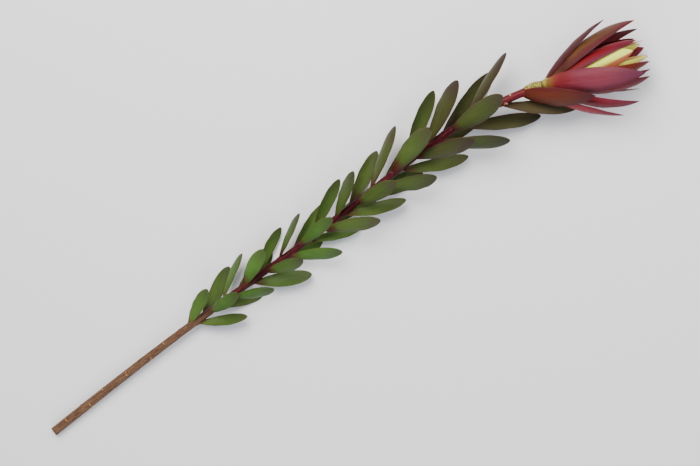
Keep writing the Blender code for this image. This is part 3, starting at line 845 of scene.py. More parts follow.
@dataclass(frozen=True)
class Foliage:
    """Leaves in a spiral up the stem, longer near the head, and the two bracts of the neck.

    Spreads, bends, rolls and the twist are in degrees, and cup radii in mm. The first source of draws
    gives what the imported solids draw, in the same order, and the fine one the small differences.
    """

    rng: random.Random
    fine: random.Random
    count: int = 44
    start: float = 158.0 * MM
    end: float = 478.0 * MM
    length_low: float = 44.0 * MM
    length_high: float = 65.0 * MM
    slimness_low: float = 0.27
    slimness_high: float = 0.25
    growth: float = 1.5
    first_azimuth: float = math.radians(50.8)
    azimuth_spread: float = 7.0
    length_spread: float = 0.08
    width_spread: float = 0.07
    angle_root: Range = (33.0, 43.0)
    angle_tip: Range = (16.0, 27.0)
    side_bend: float = 9.0
    roll: float = 16.0
    twist: float = 34.0
    cup_radius: Range = (15.0, 26.0)
    root_cup: float = 6.0 * MM
    root_depth: float = 1.3 * MM
    bare_neck_from: float = 446.0 * MM
    bare_neck_half: float = math.radians(62.0)
    clear_below_from: float = 450.0 * MM
    clear_below_half: float = math.radians(70.0)
    blush_power: float = 1.8
    blush_spread: float = 0.22
    ripe_from: float = 0.88
    ripe_share: float = 0.75
    light: Range = (0.8, 1.04)
    neck_shade: float = 0.16
    groups: tuple[str, ...] = ("lowest", "low", "middle", "high", "highest")

    @staticmethod
    def facing(azimuth: float, centre: float, half: float) -> bool:
        """True where an azimuth lies within half of the centre."""
        return abs((azimuth - centre + math.pi) % (2.0 * math.pi) - math.pi) < half

    def blades(self) -> tuple[list[Blade], list[Blade]]:
        """Leaf k stands at an even step up the stem, one spiral angle on from the leaf before.

        The twist, which goes with the sine of its azimuth, turns a side leaf towards lying flat, with
        its outer face up on the stem's upper half and its inner face up on the lower half.

        Returns:
            The leaves that grow, and those that left only a scar.
        """
        rng = self.rng
        grown, bare = [], []
        for index in range(self.count):
            share = index / (self.count - 1)
            at = self.start + (self.end - self.start) * share
            azimuth = self.first_azimuth + SPIRAL * index
            azimuth += angle_in(rng, (-self.azimuth_spread, self.azimuth_spread))
            length = self.length_low + (self.length_high - self.length_low) * share**self.growth
            length *= 1.0 + rng.uniform(-self.length_spread, self.length_spread)
            slimness = self.slimness_low + (self.slimness_high - self.slimness_low) * share
            twist = math.copysign(self.twist, math.cos(azimuth)) * math.sin(azimuth)
            leaf = Blade(
                at=at,
                azimuth=azimuth,
                length=length,
                width=length * slimness * (1.0 + rng.uniform(-self.width_spread, self.width_spread)),
                angle_root=angle_in(rng, self.angle_root),
                angle_tip=angle_in(rng, self.angle_tip),
                outline=LEAF_OUTLINE,
                side_tip=angle_in(rng, (-self.side_bend, self.side_bend)),
                roll=math.radians(rng.uniform(-self.roll, self.roll) - twist),
                cup=1.0 / (rng.uniform(*self.cup_radius) * MM),
                cup_root=1.0 / self.root_cup,
                root_radius=float(SIZES.radius(at)) - self.root_depth,
            )
            on_top = at > self.bare_neck_from and self.facing(azimuth, 0.0, self.bare_neck_half)
            below = at > self.clear_below_from and self.facing(azimuth, math.pi, self.clear_below_half)
            (bare if on_top or below else grown).append(leaf)
        return grown, bare

    def tint(self, leaf: Blade) -> Tint:
        """Tint of a leaf: green at the bottom, olive and then maroon towards the neck.

        Args:
            leaf: The leaf.

        Returns:
            Its tint, with small differences.
        """
        share = (leaf.at - self.start) / (self.end - self.start)
        blush = share**self.blush_power + self.fine.uniform(-self.blush_spread, self.blush_spread)
        ripe = max(0.0, share - self.ripe_from) / (1.0 - self.ripe_from)
        tint = GREEN_LEAF.mixed(OLIVE_LEAF, min(max(blush, 0.0), 1.0))
        tint = tint.mixed(MAROON_LEAF, self.ripe_share * ripe)
        return tint.lit(self.fine.uniform(*self.light) * (1.0 - self.neck_shade * share**3))

    def make(self, grown: list[Blade]) -> None:
        """Makes the leaves in groups up the stem, and the neck's bracts.

        Args:
            grown: The leaves that grow.
        """
        skin = BladeFinish(name="leaf_skin", inside=(84, 96, 44), inside_share=0.2).material()
        size = math.ceil(len(grown) / len(self.groups))
        for index, name in enumerate(self.groups):
            group = grown[index * size : (index + 1) * size]
            lofts = [LEAF_FORM.loft(leaf, self.tint(leaf), self.fine) for leaf in group]
            Piece(f"leaves_{name}", "leafy_stem", "leaf_and_stem", skin).make(lofts)
        skin = BladeFinish(name="neck_bract_skin", inside=(110, 44, 34), streak=0.07).material()
        wide = replace(LEAF_FORM, rows=44, around=36)
        pairs = ((BROAD_BRACT, BractTint.NECK), (NARROW_BRACT, BractTint.CRIMSON))
        lofts = [wide.loft(bract, tint.value, self.fine) for bract, tint in pairs]
        Piece("neck_bracts", "leafy_stem", "leaf_and_stem", skin).make(lofts)


BROAD_BRACT = Blade(
    at=497.0 * MM,
    azimuth=math.radians(-50.0),
    length=60.0 * MM,
    width=17.0 * MM,
    angle_root=math.radians(40.0),
    angle_tip=math.radians(12.0),
    outline=BRACT_OUTLINE,
    side_tip=math.radians(-5.0),
    roll=math.radians(22.0),
    cup=1 / (22 * MM),
    cup_root=1 / (9 * MM),
    root_radius=1.9 * MM,
)
NARROW_BRACT = replace(
    BROAD_BRACT,
    at=505.5 * MM,
    azimuth=math.radians(-80.0),
    length=74.0 * MM,
    width=11.0 * MM,
    angle_root=math.radians(48.0),
    angle_tip=math.radians(24.0),
    side_tip=0.0,
    roll=math.radians(24.0),
    cup=1 / (20 * MM),
)


@dataclass(frozen=True)
class BarkFinish:
    """Crimson bark, woody and brown at the foot and pale at the collar, with fibres and lenticels."""

    name: str = "bark"
    foot: Colour = (112, 86, 60)
    foot_dark: Colour = (76, 46, 36)
    # the bark's own crimson, darker in the leafy middle than at the neck partly as painted shade of the
    # leaves
    neck: Colour = (98, 4, 16)
    crimson: Colour = (80, 4, 20)
    deep: Colour = (48, 4, 14)
    collar: Colour = (136, 126, 50)
    # painted shade: the darker colour in the creases between the collar's mounds
    crease_painted_shade: Colour = (78, 72, 24)
    collar_rim: Colour = (168, 158, 78)
    # painted shade: the dark colour of the collar's scar pits
    collar_pit: Colour = (62, 64, 18)
    callus: Colour = (190, 140, 92)
    lenticel: Colour = (176, 150, 116)
    foot_fade: Range = (0.22, 0.5)
    neck_fade: Range = (0.82, 0.98)

    def material(self) -> bpy.types.Material:
        """Foot to crimson to collar along the stem, darkened by fibres, with callus on the scars; the crimson
        is darker in the leafy middle than at the neck partly as painted shade of the leaves.

        Returns:
            The material, which reads the bark's own values.
        """
        sheet = ShaderSheet(self.name)
        add = Step.ADD
        soft, fibre = sheet.noise((0.3, 0.3, 0.06)), sheet.noise((2.6, 2.6, 0.12))
        fine = sheet.noise((6.0, 6.0, 1.2))
        place = sheet.math(add, sheet.number("along"), sheet.swing(soft, 0.0, 0.08, 0.2))
        wood = sheet.layered(
            self.foot_dark,
            (sheet.span(fibre, 0.35, 0.65), self.foot),
            (sheet.span(sheet.spots((0.9, 0.9, 0.35)), 0.16, 0.08, (0.0, 0.8)), self.lenticel),
        )
        fresh = sheet.layered(
            self.deep,
            (sheet.span(fibre, 0.3, 0.7), self.crimson),
            # brighter crimson at the neck over the darker leafy middle: partly painted shade of the leaves
            # below it
            (sheet.span(place, *self.neck_fade, (0.0, 0.75)), self.neck),
        )
        colour = sheet.layered(wood, (sheet.span(place, *self.foot_fade), fresh))
        colour = sheet.shaded(colour, sheet.span(sheet.math(add, soft, fine), 0.6, 1.4, (0.84, 1.2)))
        torn = sheet.math(add, sheet.number("collar"), sheet.span(fibre, 0.3, 0.7, (-0.35, 0.2)))
        torn = sheet.span(torn, 0.15, 0.6)
        rim = sheet.layered(self.callus, (torn, self.collar_rim))
        hollow = sheet.layered(self.foot_dark, (torn, self.collar_pit))
        lump = sheet.span(sheet.number("lump"), 0.15, 0.6)
        colour = sheet.layered(
            colour,
            # painted shade: the collar is darker in the creases between the scars' mounds
            (torn, sheet.layered(self.crease_painted_shade, (lump, self.collar))),
            (sheet.span(sheet.number("scar"), 0.3, 0.8, (0.0, 0.9)), rim),
            # painted shade: the scars' pits take a dark colour, foot_dark on the neck and collar_pit on the
            # collar
            (sheet.span(sheet.number("pit"), 0.3, 0.8, (0.0, 0.85)), hollow),
        )
        return sheet.finish(
            colour,
            sheet.span(place, 0.15, 0.6, (0.72, 0.42)),
            sheet.math(add, fibre, fine),
            0.09 * MM,
            Subsurface_Weight=0.06,
            Subsurface_Scale=0.6 * MM,
            Specular_IOR_Level=0.22,
        )


@dataclass(frozen=True)
class WoodFinish:
    """Fresh cut wood: a pale ring of fibres round a greenish pith, darker towards the bark."""

    name: str = "cut_wood"
    pith: Colour = (150, 138, 88)
    wood: Colour = (222, 206, 160)
    rim: Colour = (128, 104, 66)

    def material(self) -> bpy.types.Material:
        """Colour runs outwards from pith to wood to rim, with rays from the centre.

        Returns:
            The material, which reads the distance from the centre.
        """
        sheet = ShaderSheet(self.name)
        out = sheet.number("along")
        ray = sheet.noise((4.0, 4.0, 0.3))
        colour = sheet.layered(
            self.pith,
            (sheet.span(out, 0.14, 0.26), self.wood),
            (sheet.span(out, 0.80, 0.95), self.rim),
        )
        return sheet.finish(
            sheet.shaded(colour, sheet.span(ray, 0.3, 0.7, (0.82, 1.12))),
            sheet.span(ray, 0.3, 0.7, (0.6, 0.8)),
            ray,
            0.08 * MM,
            Subsurface_Weight=0.1,
            Subsurface_Scale=0.5 * MM,
        )


@dataclass(frozen=True)
class Stem:
    """Bark with its leaf cushions and scars, the cut face, and the torn leaf bases of the collar.

    A relief's long and wide are the half widths of its bell along and round the stem. Stubs and
    chips are in mm. A neck mark is a place in mm and an azimuth in degrees, and a ridge the number of
    lobes round the stem, the length in mm over which it drifts and its height in mm. Grown are the
    leaves that grow, and bare those that left only a scar.
    """

    grown: list[Blade]
    bare: list[Blade]
    rng: random.Random
    loops: int = 1150
    around: int = 44
    scar_spacing: float = 8.6 * MM
    scar_from: float = 20.0 * MM
    foot_turn: float = 0.4
    collar_turn: float = 0.9
    scar_long: float = 0.95 * MM
    scar_wide: float = 1.45 * MM
    scar_height: float = 0.38 * MM
    scar_rim: float = 0.38
    scar_pit: float = 0.5
    scar_mound: float = 1.7
    scar_lump: float = 1.3
    cushion_height: float = 0.6 * MM
    cushion_long: float = 2.6 * MM
    cushion_wide: float = 1.6 * MM
    cushion_ahead: float = 0.6 * MM
    keel_height: float = 0.14 * MM
    keel_length: float = 17.0 * MM
    keel_wide: float = 0.9 * MM
    keel_rise: float = 2.0 * MM
    ridges: tuple[Triple, ...] = ((7, 31.0, 0.05), (12, 19.0, 0.04), (19, 11.0, 0.03))
    woody_to: float = 60.0 * MM
    woody_fade: float = 200.0 * MM
    collar_scars: int = 30
    collar_relief: float = 1.9
    stub_length: Range = (1.2, 2.3)
    stub_width: Range = (1.3, 2.4)
    stub_turn: float = 0.25
    stub_back: Range = (0.3, 1.0)
    stub_root_depth: float = 0.1 * MM
    stub_cup: float = 1 / (3 * MM)
    neck_marks: tuple[Mark, ...] = ((488.5, 62.0), (482.0, -58.0))
    chips_of_scar: int = 2
    chip_length: Range = (1.2, 2.2)
    chip_turn: float = 0.3
    chip_shift: float = 0.7
    chip_root_depth: float = 0.6 * MM
    face_inset: float = 0.06 * MM
    first_loop: float = 0.02 * MM
    lip_share: float = 0.9
    lip_depth: float = 0.45 * MM

    def collar_marks(self) -> list[Mark]:
        """Place and azimuth of each scar of the collar, in the leaves' spiral."""
        steps = enumerate(np.linspace(-0.5, 0.5, self.collar_scars))
        return [(SIZES.collar_at + SIZES.collar_length * u, SPIRAL * k + self.collar_turn) for k, u in steps]

    def bare_marks(self) -> list[Mark]:
        """Place and azimuth of the scars that leaves left on the neck."""
        marks = [(at * MM, math.radians(azimuth)) for at, azimuth in self.neck_marks]
        return [(leaf.at, leaf.azimuth) for leaf in self.bare] + marks

    def relief(self, s: Array, azimuth: Array) -> dict[str, Array]:
        """Height of the bark over the plain stem, and where the scars lie.

        Under each leaf a bell-shaped cushion swells, and a low keel runs down from it. A scar is an
        oval rim, a bell of (distance - 1) that is higher on its low side, with a pit inside it; sines
        round the scar make it uneven. Fine ridges are sines round the stem whose phase drifts along it.

        Args:
            s: Distance from the cut end.
            azimuth: Angle round the stem.

        Returns:
            The height, and the scars' rims, pits and lumps, each in the shape of s.
        """
        radius = SIZES.radius(s)
        height, rims, pits, lumps = (np.zeros_like(s) for _ in range(4))

        def arc(centre: float) -> Array:
            """Distance round the stem from an azimuth."""
            return ((azimuth - centre + np.pi) % (2.0 * np.pi) - np.pi) * radius

        for leaf in self.grown:
            down = leaf.at + self.cushion_ahead - s
            cushion = bell(down / self.cushion_long) * bell(arc(leaf.azimuth) / self.cushion_wide)
            run = np.clip(1.0 - down / self.keel_length, 0.0, 1.0) * smooth_step(0.5 + down / self.keel_rise)
            keel = run * bell(arc(leaf.azimuth) / self.keel_wide)
            height = height + self.cushion_height * cushion + self.keel_height * keel
        count = int((Foliage.start - self.scar_from) / self.scar_spacing)
        foot = [(self.scar_from + self.scar_spacing * k, SPIRAL * k + self.foot_turn) for k in range(count)]
        marks = [(*mark, 1.0) for mark in self.bare_marks() + foot]
        for at, centre, strength in marks + [(*mark, self.collar_relief) for mark in self.collar_marks()]:
            across, ahead = arc(centre) / self.scar_wide, (s - at) / self.scar_long
            turn = np.arctan2(across, ahead)
            uneven = 1.0 + 0.16 * np.sin(3.0 * turn + 5.0 * centre) + 0.1 * np.sin(5.0 * turn - centre)
            distance = np.hypot(ahead, across) * uneven
            rim = bell((distance - 1.0) / self.scar_rim) * (0.3 + 0.7 * smooth_step(0.5 - 0.5 * ahead))
            pit = bell(distance / self.scar_pit)
            swelling = 0.55 * rim + 0.5 * bell(distance / self.scar_mound) - 0.6 * pit
            height = height + self.scar_height * strength * swelling
            rims, pits = np.maximum(rims, rim), np.maximum(pits, pit)
            lumps = np.maximum(lumps, bell(distance / self.scar_lump))
        woody = 1.5 - smooth_step((s - self.woody_to) / self.woody_fade)
        for lobes, drift, size in self.ridges:
            phase = lobes * azimuth + 2.4 * np.sin(s / (drift * MM)) + lobes
            height = height + size * MM * woody * np.sin(phase)
        return {"height": height, "scar": rims, "pit": pits, "lump": lumps}

    def bark(self) -> Loft:
        """Tube of the bark: the plain radius and the relief, with the slanted cut at its low end.

        One more loop at the low end turns in behind the cut face.

        Returns:
            The skin, with its own values for the finish.
        """
        s, azimuth = rings(np.linspace(self.first_loop, SIZES.length, self.loops), self.around)
        values = self.relief(s, azimuth)
        radius = SIZES.radius(s) + values.pop("height")
        lean = math.tan(SIZES.cut_slant) * SIZES.cut_radius * (1.0 + np.cos(azimuth))
        setback = lean * np.clip(1.0 - s / SIZES.first_ring, 0.0, 1.0)
        points = PATH.round(s, radius, azimuth, setback)
        behind = PATH.round(s[:1], self.lip_share * radius[:1], azimuth[:1], setback[:1] + self.lip_depth)
        values["along"] = s / SIZES.length
        values["grain"] = np.stack([radius * np.cos(azimuth), radius * np.sin(azimuth), s], -1) / MM
        values["collar"] = bell(np.minimum(s - SIZES.collar_at, 0.0) / (0.62 * SIZES.collar_length))
        values = {key: np.concatenate([value[:1], value]) for key, value in values.items()}
        return Loft(np.concatenate([behind, points]), values)

    def cut_face(self) -> Loft:
        """Thin plug of wood on the slanted cut: a disc of rings, a rounded rim and a flat back.

        At a share of the radius, the face lies tan(slant) radius (1 + share cos(azimuth)) along the
        stem. The pith is a shallow bell-shaped hollow in it. Each pair of the profile is a share of
        the radius and a depth in mm.

        Returns:
            The skin, with its own values for the finish.
        """
        profile = np.array(
            [[0.02, 0.0], [0.12, 0.0], [0.22, 0.0], [0.4, 0.0], [0.6, 0.0], [0.78, 0.0], [0.9, 0.0]]
            + [[0.96, 0.02], [0.985, 0.08], [0.985, 0.5], [0.5, 0.6], [0.02, 0.6]]
        )
        share, azimuth = rings(profile[:, 0], 48)
        depth = np.broadcast_to(profile[:, 1:], share.shape) * MM
        sunk = 0.18 * MM * bell(share / 0.2) * (depth < 0.01 * MM)
        slant = math.tan(SIZES.cut_slant) * SIZES.cut_radius * (1.0 + share * np.cos(azimuth))
        ridges = 0.03 * MM * np.sin(9.0 * azimuth) * share
        setback = slant + depth + sunk + ridges + self.face_inset
        points = PATH.round(np.zeros_like(share), SIZES.cut_radius * share, azimuth, setback)
        grain = np.stack([np.cos(azimuth) * 3.0, np.sin(azimuth) * 3.0, 3.0 * share], -1)
        return Loft(points, {"along": share, "grain": grain})

    def stubs(self) -> list[Loft]:
        """Torn leaf bases: short pointed blades in the spiral of the collar, and chips on bare scars.

        Returns:
            One skin for each.
        """
        rng = self.rng
        form = replace(SMALL_FORM, middle=0.62 * MM, edge=0.36 * MM, edge_wave=0.12, rib_height=0.0)
        stub = (self.stub_length, COLLAR_STUB, self.stub_root_depth)
        chip = (self.chip_length, SCAR_CHIP, self.chip_root_depth)
        places = []
        for mark, azimuth in self.collar_marks()[::2]:
            at = mark - self.scar_long * rng.uniform(*self.stub_back)
            places.append((at, azimuth + rng.uniform(-self.stub_turn, self.stub_turn), *stub))
        for mark, azimuth in self.bare_marks():
            for _ in range(self.chips_of_scar):
                at = mark + rng.uniform(-self.chip_shift, self.chip_shift) * MM
                places.append((at, azimuth + rng.uniform(-self.chip_turn, self.chip_turn), *chip))
        skins = []
        for at, azimuth, length, tint, depth in places:
            torn = Blade(
                at=at,
                azimuth=azimuth,
                length=rng.uniform(*length) * MM,
                width=rng.uniform(*self.stub_width) * MM,
                angle_root=angle_in(rng, (40.0, 66.0)),
                angle_tip=angle_in(rng, (20.0, 60.0)),
                outline=STUB_OUTLINE,
                side_tip=angle_in(rng, (-30.0, 30.0)),
                cup=self.stub_cup,
                cup_root=self.stub_cup,
                root_radius=float(SIZES.radius(at)) - depth,
            )
            skins.append(form.loft(torn, tint.lit(rng.uniform(0.75, 1.1)), rng))
        return skins

    def make(self) -> None:
        """Makes the bark, the cut face and the torn leaf bases."""
        where = ("leafy_stem", "leaf_and_stem")
        Piece("bark", *where, BarkFinish().material()).make([self.bark()])
        Piece("cut_face", *where, WoodFinish().material()).make([self.cut_face()])
        skin = BladeFinish(name="torn_base", inside=(206, 196, 120), callus=(120, 78, 50)).material()
        Piece("torn_leaf_bases", *where, skin).make(self.stubs())


@dataclass(frozen=True)
class Whorl:
    """A ring of like bracts, spread evenly over an arc; angles in degrees, cupping in 1/mm, shift in mm.

    The twist goes with the sine of a bract's azimuth, and turns the outer face of a side bract up.
    One odd bract, the last unless it is named, is turned and has some sizes of its own.
    """

    name: str
    at: float
    root_radius: float
    arc: Range
    length: float
    width: float
    angle_root: float
    angle_tip: float
    cup: float
    cup_root: float
    tints: tuple[BractTint, ...]
    outline: Outline = BRACT_OUTLINE
    roll: float = 0.0
    twist: float = 0.0
    spread: float = 0.04
    shift: float = 0.4
    turn_spread: float = 3.0
    angle_spread: float = 2.0
    odd_one: int = -1
    odd_turn: float = 0.0
    odd_sizes: dict[str, float] = field(default_factory=dict)

    def blades(self, rng: random.Random) -> list[Blade]:
        """The whorl's bracts, one for each tint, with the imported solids' small differences.

        Args:
            rng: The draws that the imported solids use, in the same order.

        Returns:
            The bracts, from one end of the arc to the other.
        """
        made = []
        for evenly in np.linspace(*self.arc, len(self.tints)):
            at = self.at + rng.uniform(-self.shift, self.shift) * MM
            azimuth = math.radians(evenly + rng.uniform(-self.turn_spread, self.turn_spread))
            bract = Blade(
                at=at,
                azimuth=azimuth,
                length=self.length * (1.0 + rng.uniform(-self.spread, self.spread)),
                width=self.width * (1.0 + rng.uniform(-self.spread, self.spread)),
                angle_root=math.radians(self.angle_root + rng.uniform(-self.angle_spread, self.angle_spread)),
                angle_tip=math.radians(self.angle_tip + rng.uniform(-self.angle_spread, self.angle_spread)),
                outline=self.outline,
                roll=math.radians(self.roll - self.twist * math.sin(azimuth)),
                cup=self.cup / MM,
                cup_root=self.cup_root / MM,
                root_radius=self.root_radius,
            )
            made.append(bract)
        odd = made[self.odd_one]
        made[self.odd_one] = replace(odd, azimuth=odd.azimuth + self.odd_turn, **self.odd_sizes)
        return made


OUTER_WHORL = Whorl(
    name="outer_bracts",
    at=517.0 * MM,
    root_radius=3.0 * MM,
    arc=(86.0, 284.0),
    length=70.0 * MM,
    width=12.0 * MM,
    angle_root=38.0,
    angle_tip=13.0,
    cup=1 / 24,
    cup_root=1 / 9,
    # the first, left bract takes the darker wine tint, which is painted shade
    tints=tuple(BractTint[name] for name in ("WINE", "OLIVE", "CRIMSON", "OLIVE", "ORANGE", "CRIMSON")),
    twist=22.0,
    spread=0.07,
    odd_turn=math.radians(-6.0),
    odd_sizes={
        "width": 13.0 * MM,
        "angle_root": math.radians(50.0),
        "angle_tip": math.radians(8.0),
        "roll": math.radians(36.0),
    },
)
MIDDLE_WHORL = Whorl(
    name="middle_bracts",
    at=520.0 * MM,
    root_radius=3.6 * MM,
    arc=(76.0, 341.0),
    length=80.0 * MM,
    width=20.0 * MM,
    angle_root=35.0,
    angle_tip=-8.0,
    cup=1 / 20,
    cup_root=1 / 9,
    tints=tuple(BractTint[name] for name in ("OLIVE", "ROSE", "ORANGE", "ROSE", "SCARLET", "ROSE")),
    twist=16.0,
    odd_sizes={
        "at": 516.6 * MM,
        "length": 80.0 * MM,
        "side_root": math.radians(-5.0),
        "side_tip": math.radians(-14.0),
    },
)
INNER_WHORL = Whorl(
    name="inner_bracts",
    at=523.6 * MM,
    root_radius=3.2 * MM,
    arc=(54.0, 306.0),
    length=73.0 * MM,
    width=17.0 * MM,
    angle_root=26.0,
    angle_tip=-13.0,
    cup=1 / 14,
    cup_root=1 / 8,
    tints=tuple(BractTint[name] for name in ("SCARLET", "SCARLET", "ROSE", "SCARLET", "ORANGE")),
    roll=5.0,
)
PALE_WHORL = Whorl(
    name="pale_inner_bracts",
    at=530.4 * MM,
    root_radius=3.7 * MM,
    arc=(7.0, 295.0),
    length=67.0 * MM,
    width=15.0 * MM,
    angle_root=17.0,
    angle_tip=-11.0,
    cup=1 / 9,
    cup_root=1 / 6,
    tints=(BractTint.PALE,) * 5,
    outline=PALE_OUTLINE,
    roll=5.0,
    odd_one=0,
    odd_sizes={
        "length": 60.0 * MM,
        "width": 18.0 * MM,
        "angle_root": math.radians(23.0),
        "angle_tip": math.radians(-13.0),
        "roll": math.radians(-1.0),
        "cup": 1 / (11 * MM),
    },
)


@dataclass(frozen=True)
class Head:
    """Flower head: the receptacle, three whorls of red bracts, the pale bracts and the cone.

    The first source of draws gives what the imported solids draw, in the same order, and the fine one
    the small differences.
    """

    rng: random.Random
    fine: random.Random
    gap: float = 0.3 * MM
    receptacle_length: float = 13.5 * MM
    receptacle_radius: float = 4.9 * MM
    receptacle_sink: float = 0.4 * MM
    body_rows: int = 24
    body_around: int = 40
    disc_length: float = 3.0 * MM
    disc_radius: float = 4.6 * MM
    cone_length: float = 16.0 * MM
    cone_radius: float = 4.0 * MM
    cone_arch: Range = (0.16, 0.80)
    cone_skew: float = 0.85
    cone_bluntness: float = 0.7
    core_depth: float = 0.75 * MM
    scales: int = 110
    scale_length: float = 3.1 * MM
    scale_width: float = 2.7 * MM
    scale_depth: float = 0.95 * MM
    scale_places: Range = (0.03, 0.87)
    scale_shrink: float = 0.35
    scale_lift: float = math.radians(24.0)
    scale_curl: float = math.radians(34.0)
    scale_cup: float = 1 / (2.6 * MM)
    slope_step: float = 0.02
    basal_scales: int = 18
    basal_from: float = 515.5 * MM
    basal_to: float = 516.5 * MM
    basal_length: Range = (2.6, 4.6)
    basal_width: Range = (2.0, 3.0)
    basal_root_radius: float = 2.6 * MM
    light: Range = (0.93, 1.07)

    def turned(self, start: float, length: float, stops: Array, radii: Array, tint: Tint) -> Loft:
        """Smooth round body: its radius runs through the stops by interpolation.

        Args:
            start: Place of its low end along the stem.
            length: Its length.
            stops: Shares of the length.
            radii: Radius at each stop.
            tint: Its colours.

        Returns:
            The body, with the values of a blade.
        """
        share, azimuth = rings(np.linspace(0.0, 1.0, self.body_rows), self.body_around)
        radius = np.interp(share, stops, radii)
        s = start + length * share
        none = np.zeros_like(share)
        grain = np.stack([radius * np.cos(azimuth), s, radius * np.sin(azimuth)], -1) / MM
        values = {"along": 0.1 + 0.6 * share, "across": none, "inner": none, "grain": grain}
        return Loft(PATH.round(s, radius, azimuth), {**tint.values(share.shape), **values})

    def bracts(self) -> None:
        """Makes the three red whorls, the basal scales and the receptacle that carries them."""
        skin = BladeFinish(
            name="red_bract_skin",
            inside=(130, 24, 34),
            inside_share=0.45,
            base_fade=(0.42, 0.12),
            root_fade=(0.16, -0.03),
            streak=0.05,
            nerve_light=0.015,
            speck_from=0.03,
            callus=(64, 26, 38),
            lip=(84, 24, 46),
            lean=-0.4,
            subsurface=0.16,
        ).material()
        form = replace(BRACT_FORM, rows=52, around=40, base_swell=0.2, root_sink=0.6 * MM)
        for whorl in (OUTER_WHORL, MIDDLE_WHORL, INNER_WHORL):
            lofts = [
                form.loft(blade, tint.value.lit(self.fine.uniform(*self.light)), self.fine)
                for blade, tint in zip(whorl.blades(self.rng), whorl.tints)
            ]
            Piece(whorl.name, "red_bracts", "red_bract", skin).make(lofts)
        Piece("basal_scales", "red_bracts", "red_bract", skin).make(self.basal())
        body = self.turned(
            SIZES.length - self.receptacle_sink,
            self.receptacle_length + self.receptacle_sink,
            np.array([0.0, 0.1, 0.3, 0.65, 1.0]),
            self.receptacle_radius * np.array([0.68, 0.77, 0.88, 1.0, 0.96]),
            BractTint.BASAL.value,
        )
        Piece("receptacle", "red_bracts", "red_bract", skin).make([body])

    def basal(self) -> list[Loft]:
        """Small pointed scales in a spiral round the receptacle's foot, longer towards the bracts.

        Returns:
            One skin for each.
        """
        fine = self.fine
        form = replace(SMALL_FORM, rows=16, around=18)
        low, high = self.basal_length
        skins = []
        for k in range(self.basal_scales):
            share = k / (self.basal_scales - 1)
            scale = Blade(
                at=self.basal_from + (self.basal_to - self.basal_from) * share,
                azimuth=SPIRAL * k,
                length=(low + (high - low) * share) * fine.uniform(0.85, 1.15) * MM,
                width=fine.uniform(*self.basal_width) * MM,
                angle_root=angle_in(fine, (30.0, 44.0)),
                angle_tip=angle_in(fine, (10.0, 26.0)),
                outline=BRACT_OUTLINE,
                side_tip=angle_in(fine, (-10.0, 10.0)),
                cup=1 / (5 * MM),
                cup_root=1 / (4 * MM),
                root_radius=self.basal_root_radius,
            )
            tint = BractTint.BASAL.value.mixed(BractTint.ORANGE.value, 0.15 * share)
            skins.append(form.loft(scale, tint.lit(fine.uniform(0.85, 1.1)), fine))
        return skins

    def pale(self) -> None:
        """Makes the pale inner bracts and the disc that carries them."""
        skin = BladeFinish(
            name="pale_bract_skin",
            inside=(230, 230, 148),
            inside_share=0.4,
            streak=0.05,
            mottle=0.05,
            rim_from=0.3,
            lean=-1.1,
            lip=(176, 92, 84),
            lip_share=0.6,
            speck_from=0.0,
            callus=(170, 90, 70),
            rib_light=0.05,
            subsurface=0.25,
            coat=0.08,
        ).material()
        pairs = zip(PALE_WHORL.blades(self.rng), PALE_WHORL.tints)
        lofts = [BRACT_FORM.loft(blade, tint.value, self.fine) for blade, tint in pairs]
        Piece(PALE_WHORL.name, "pale_bracts", "pale_bract", skin).make(lofts)
        radii = self.disc_radius * np.array([0.98, 1.0, 0.94])
        stops = np.array([0.0, 0.5, 1.0])
        disc = self.turned(self.disc_start(), self.disc_length, stops, radii, BractTint.PALE.value)
        Piece("pale_disc", "pale_bracts", "pale_bract", skin).make([disc])

    def disc_start(self) -> float:
        """Place of the pale bracts' disc along the stem."""
        return SIZES.length + self.gap + self.receptacle_length + self.gap

    def cone_profile(self, share: Array | float) -> Array | float:
        """Radius of the cone without its scales: a skewed sine arch to a low power."""
        low, run = self.cone_arch
        return self.cone_radius * np.sin(np.pi * (low + run * share) ** self.cone_skew) ** self.cone_bluntness

    def cone(self) -> None:
        """Makes the cone: a core and overlapping scales in a spiral, smaller towards its top."""
        skin = BladeFinish(
            name="cone_scale_skin",
            inside=(190, 184, 96),
            inside_share=0.3,
            streak=0.12,
            speck_from=0.0,
            callus=(150, 84, 56),
            subsurface=0.15,
        ).material()
        start = self.disc_start() + self.disc_length + self.gap
        stops = np.linspace(0.0, 1.0, 24)
        radii = self.cone_profile(stops) - self.core_depth
        form = replace(SMALL_FORM, ripple=0.0)
        lofts = [self.turned(start, self.cone_length, stops, radii, CONE_SCALE.lit(0.8))]
        for k in range(self.scales):
            share = self.scale_places[0] + self.scale_places[1] * k / (self.scales - 1)
            ahead, behind = (self.cone_profile(share + step) for step in (self.slope_step, -self.slope_step))
            slope = math.atan2(float(ahead - behind), 2.0 * self.slope_step * self.cone_length)
            size = 1.0 - self.scale_shrink * share
            scale = Blade(
                at=start + self.cone_length * share,
                azimuth=SPIRAL * k,
                length=self.scale_length * size,
                width=self.scale_width * size,
                angle_root=slope + self.scale_lift,
                angle_tip=slope - self.scale_curl,
                outline=CONE_OUTLINE,
                cup=self.scale_cup,
                cup_root=self.scale_cup,
                root_radius=float(self.cone_profile(share)) - self.scale_depth,
            )
            lofts.append(form.loft(scale, CONE_SCALE.lit(self.fine.uniform(0.88, 1.1)), self.fine))
        Piece("cone", "flower_cone", "cone_scale", skin).make(lofts)

    def make(self) -> None:
        """Makes the head from its outside in."""
        self.bracts()
        self.pale()
        self.cone()


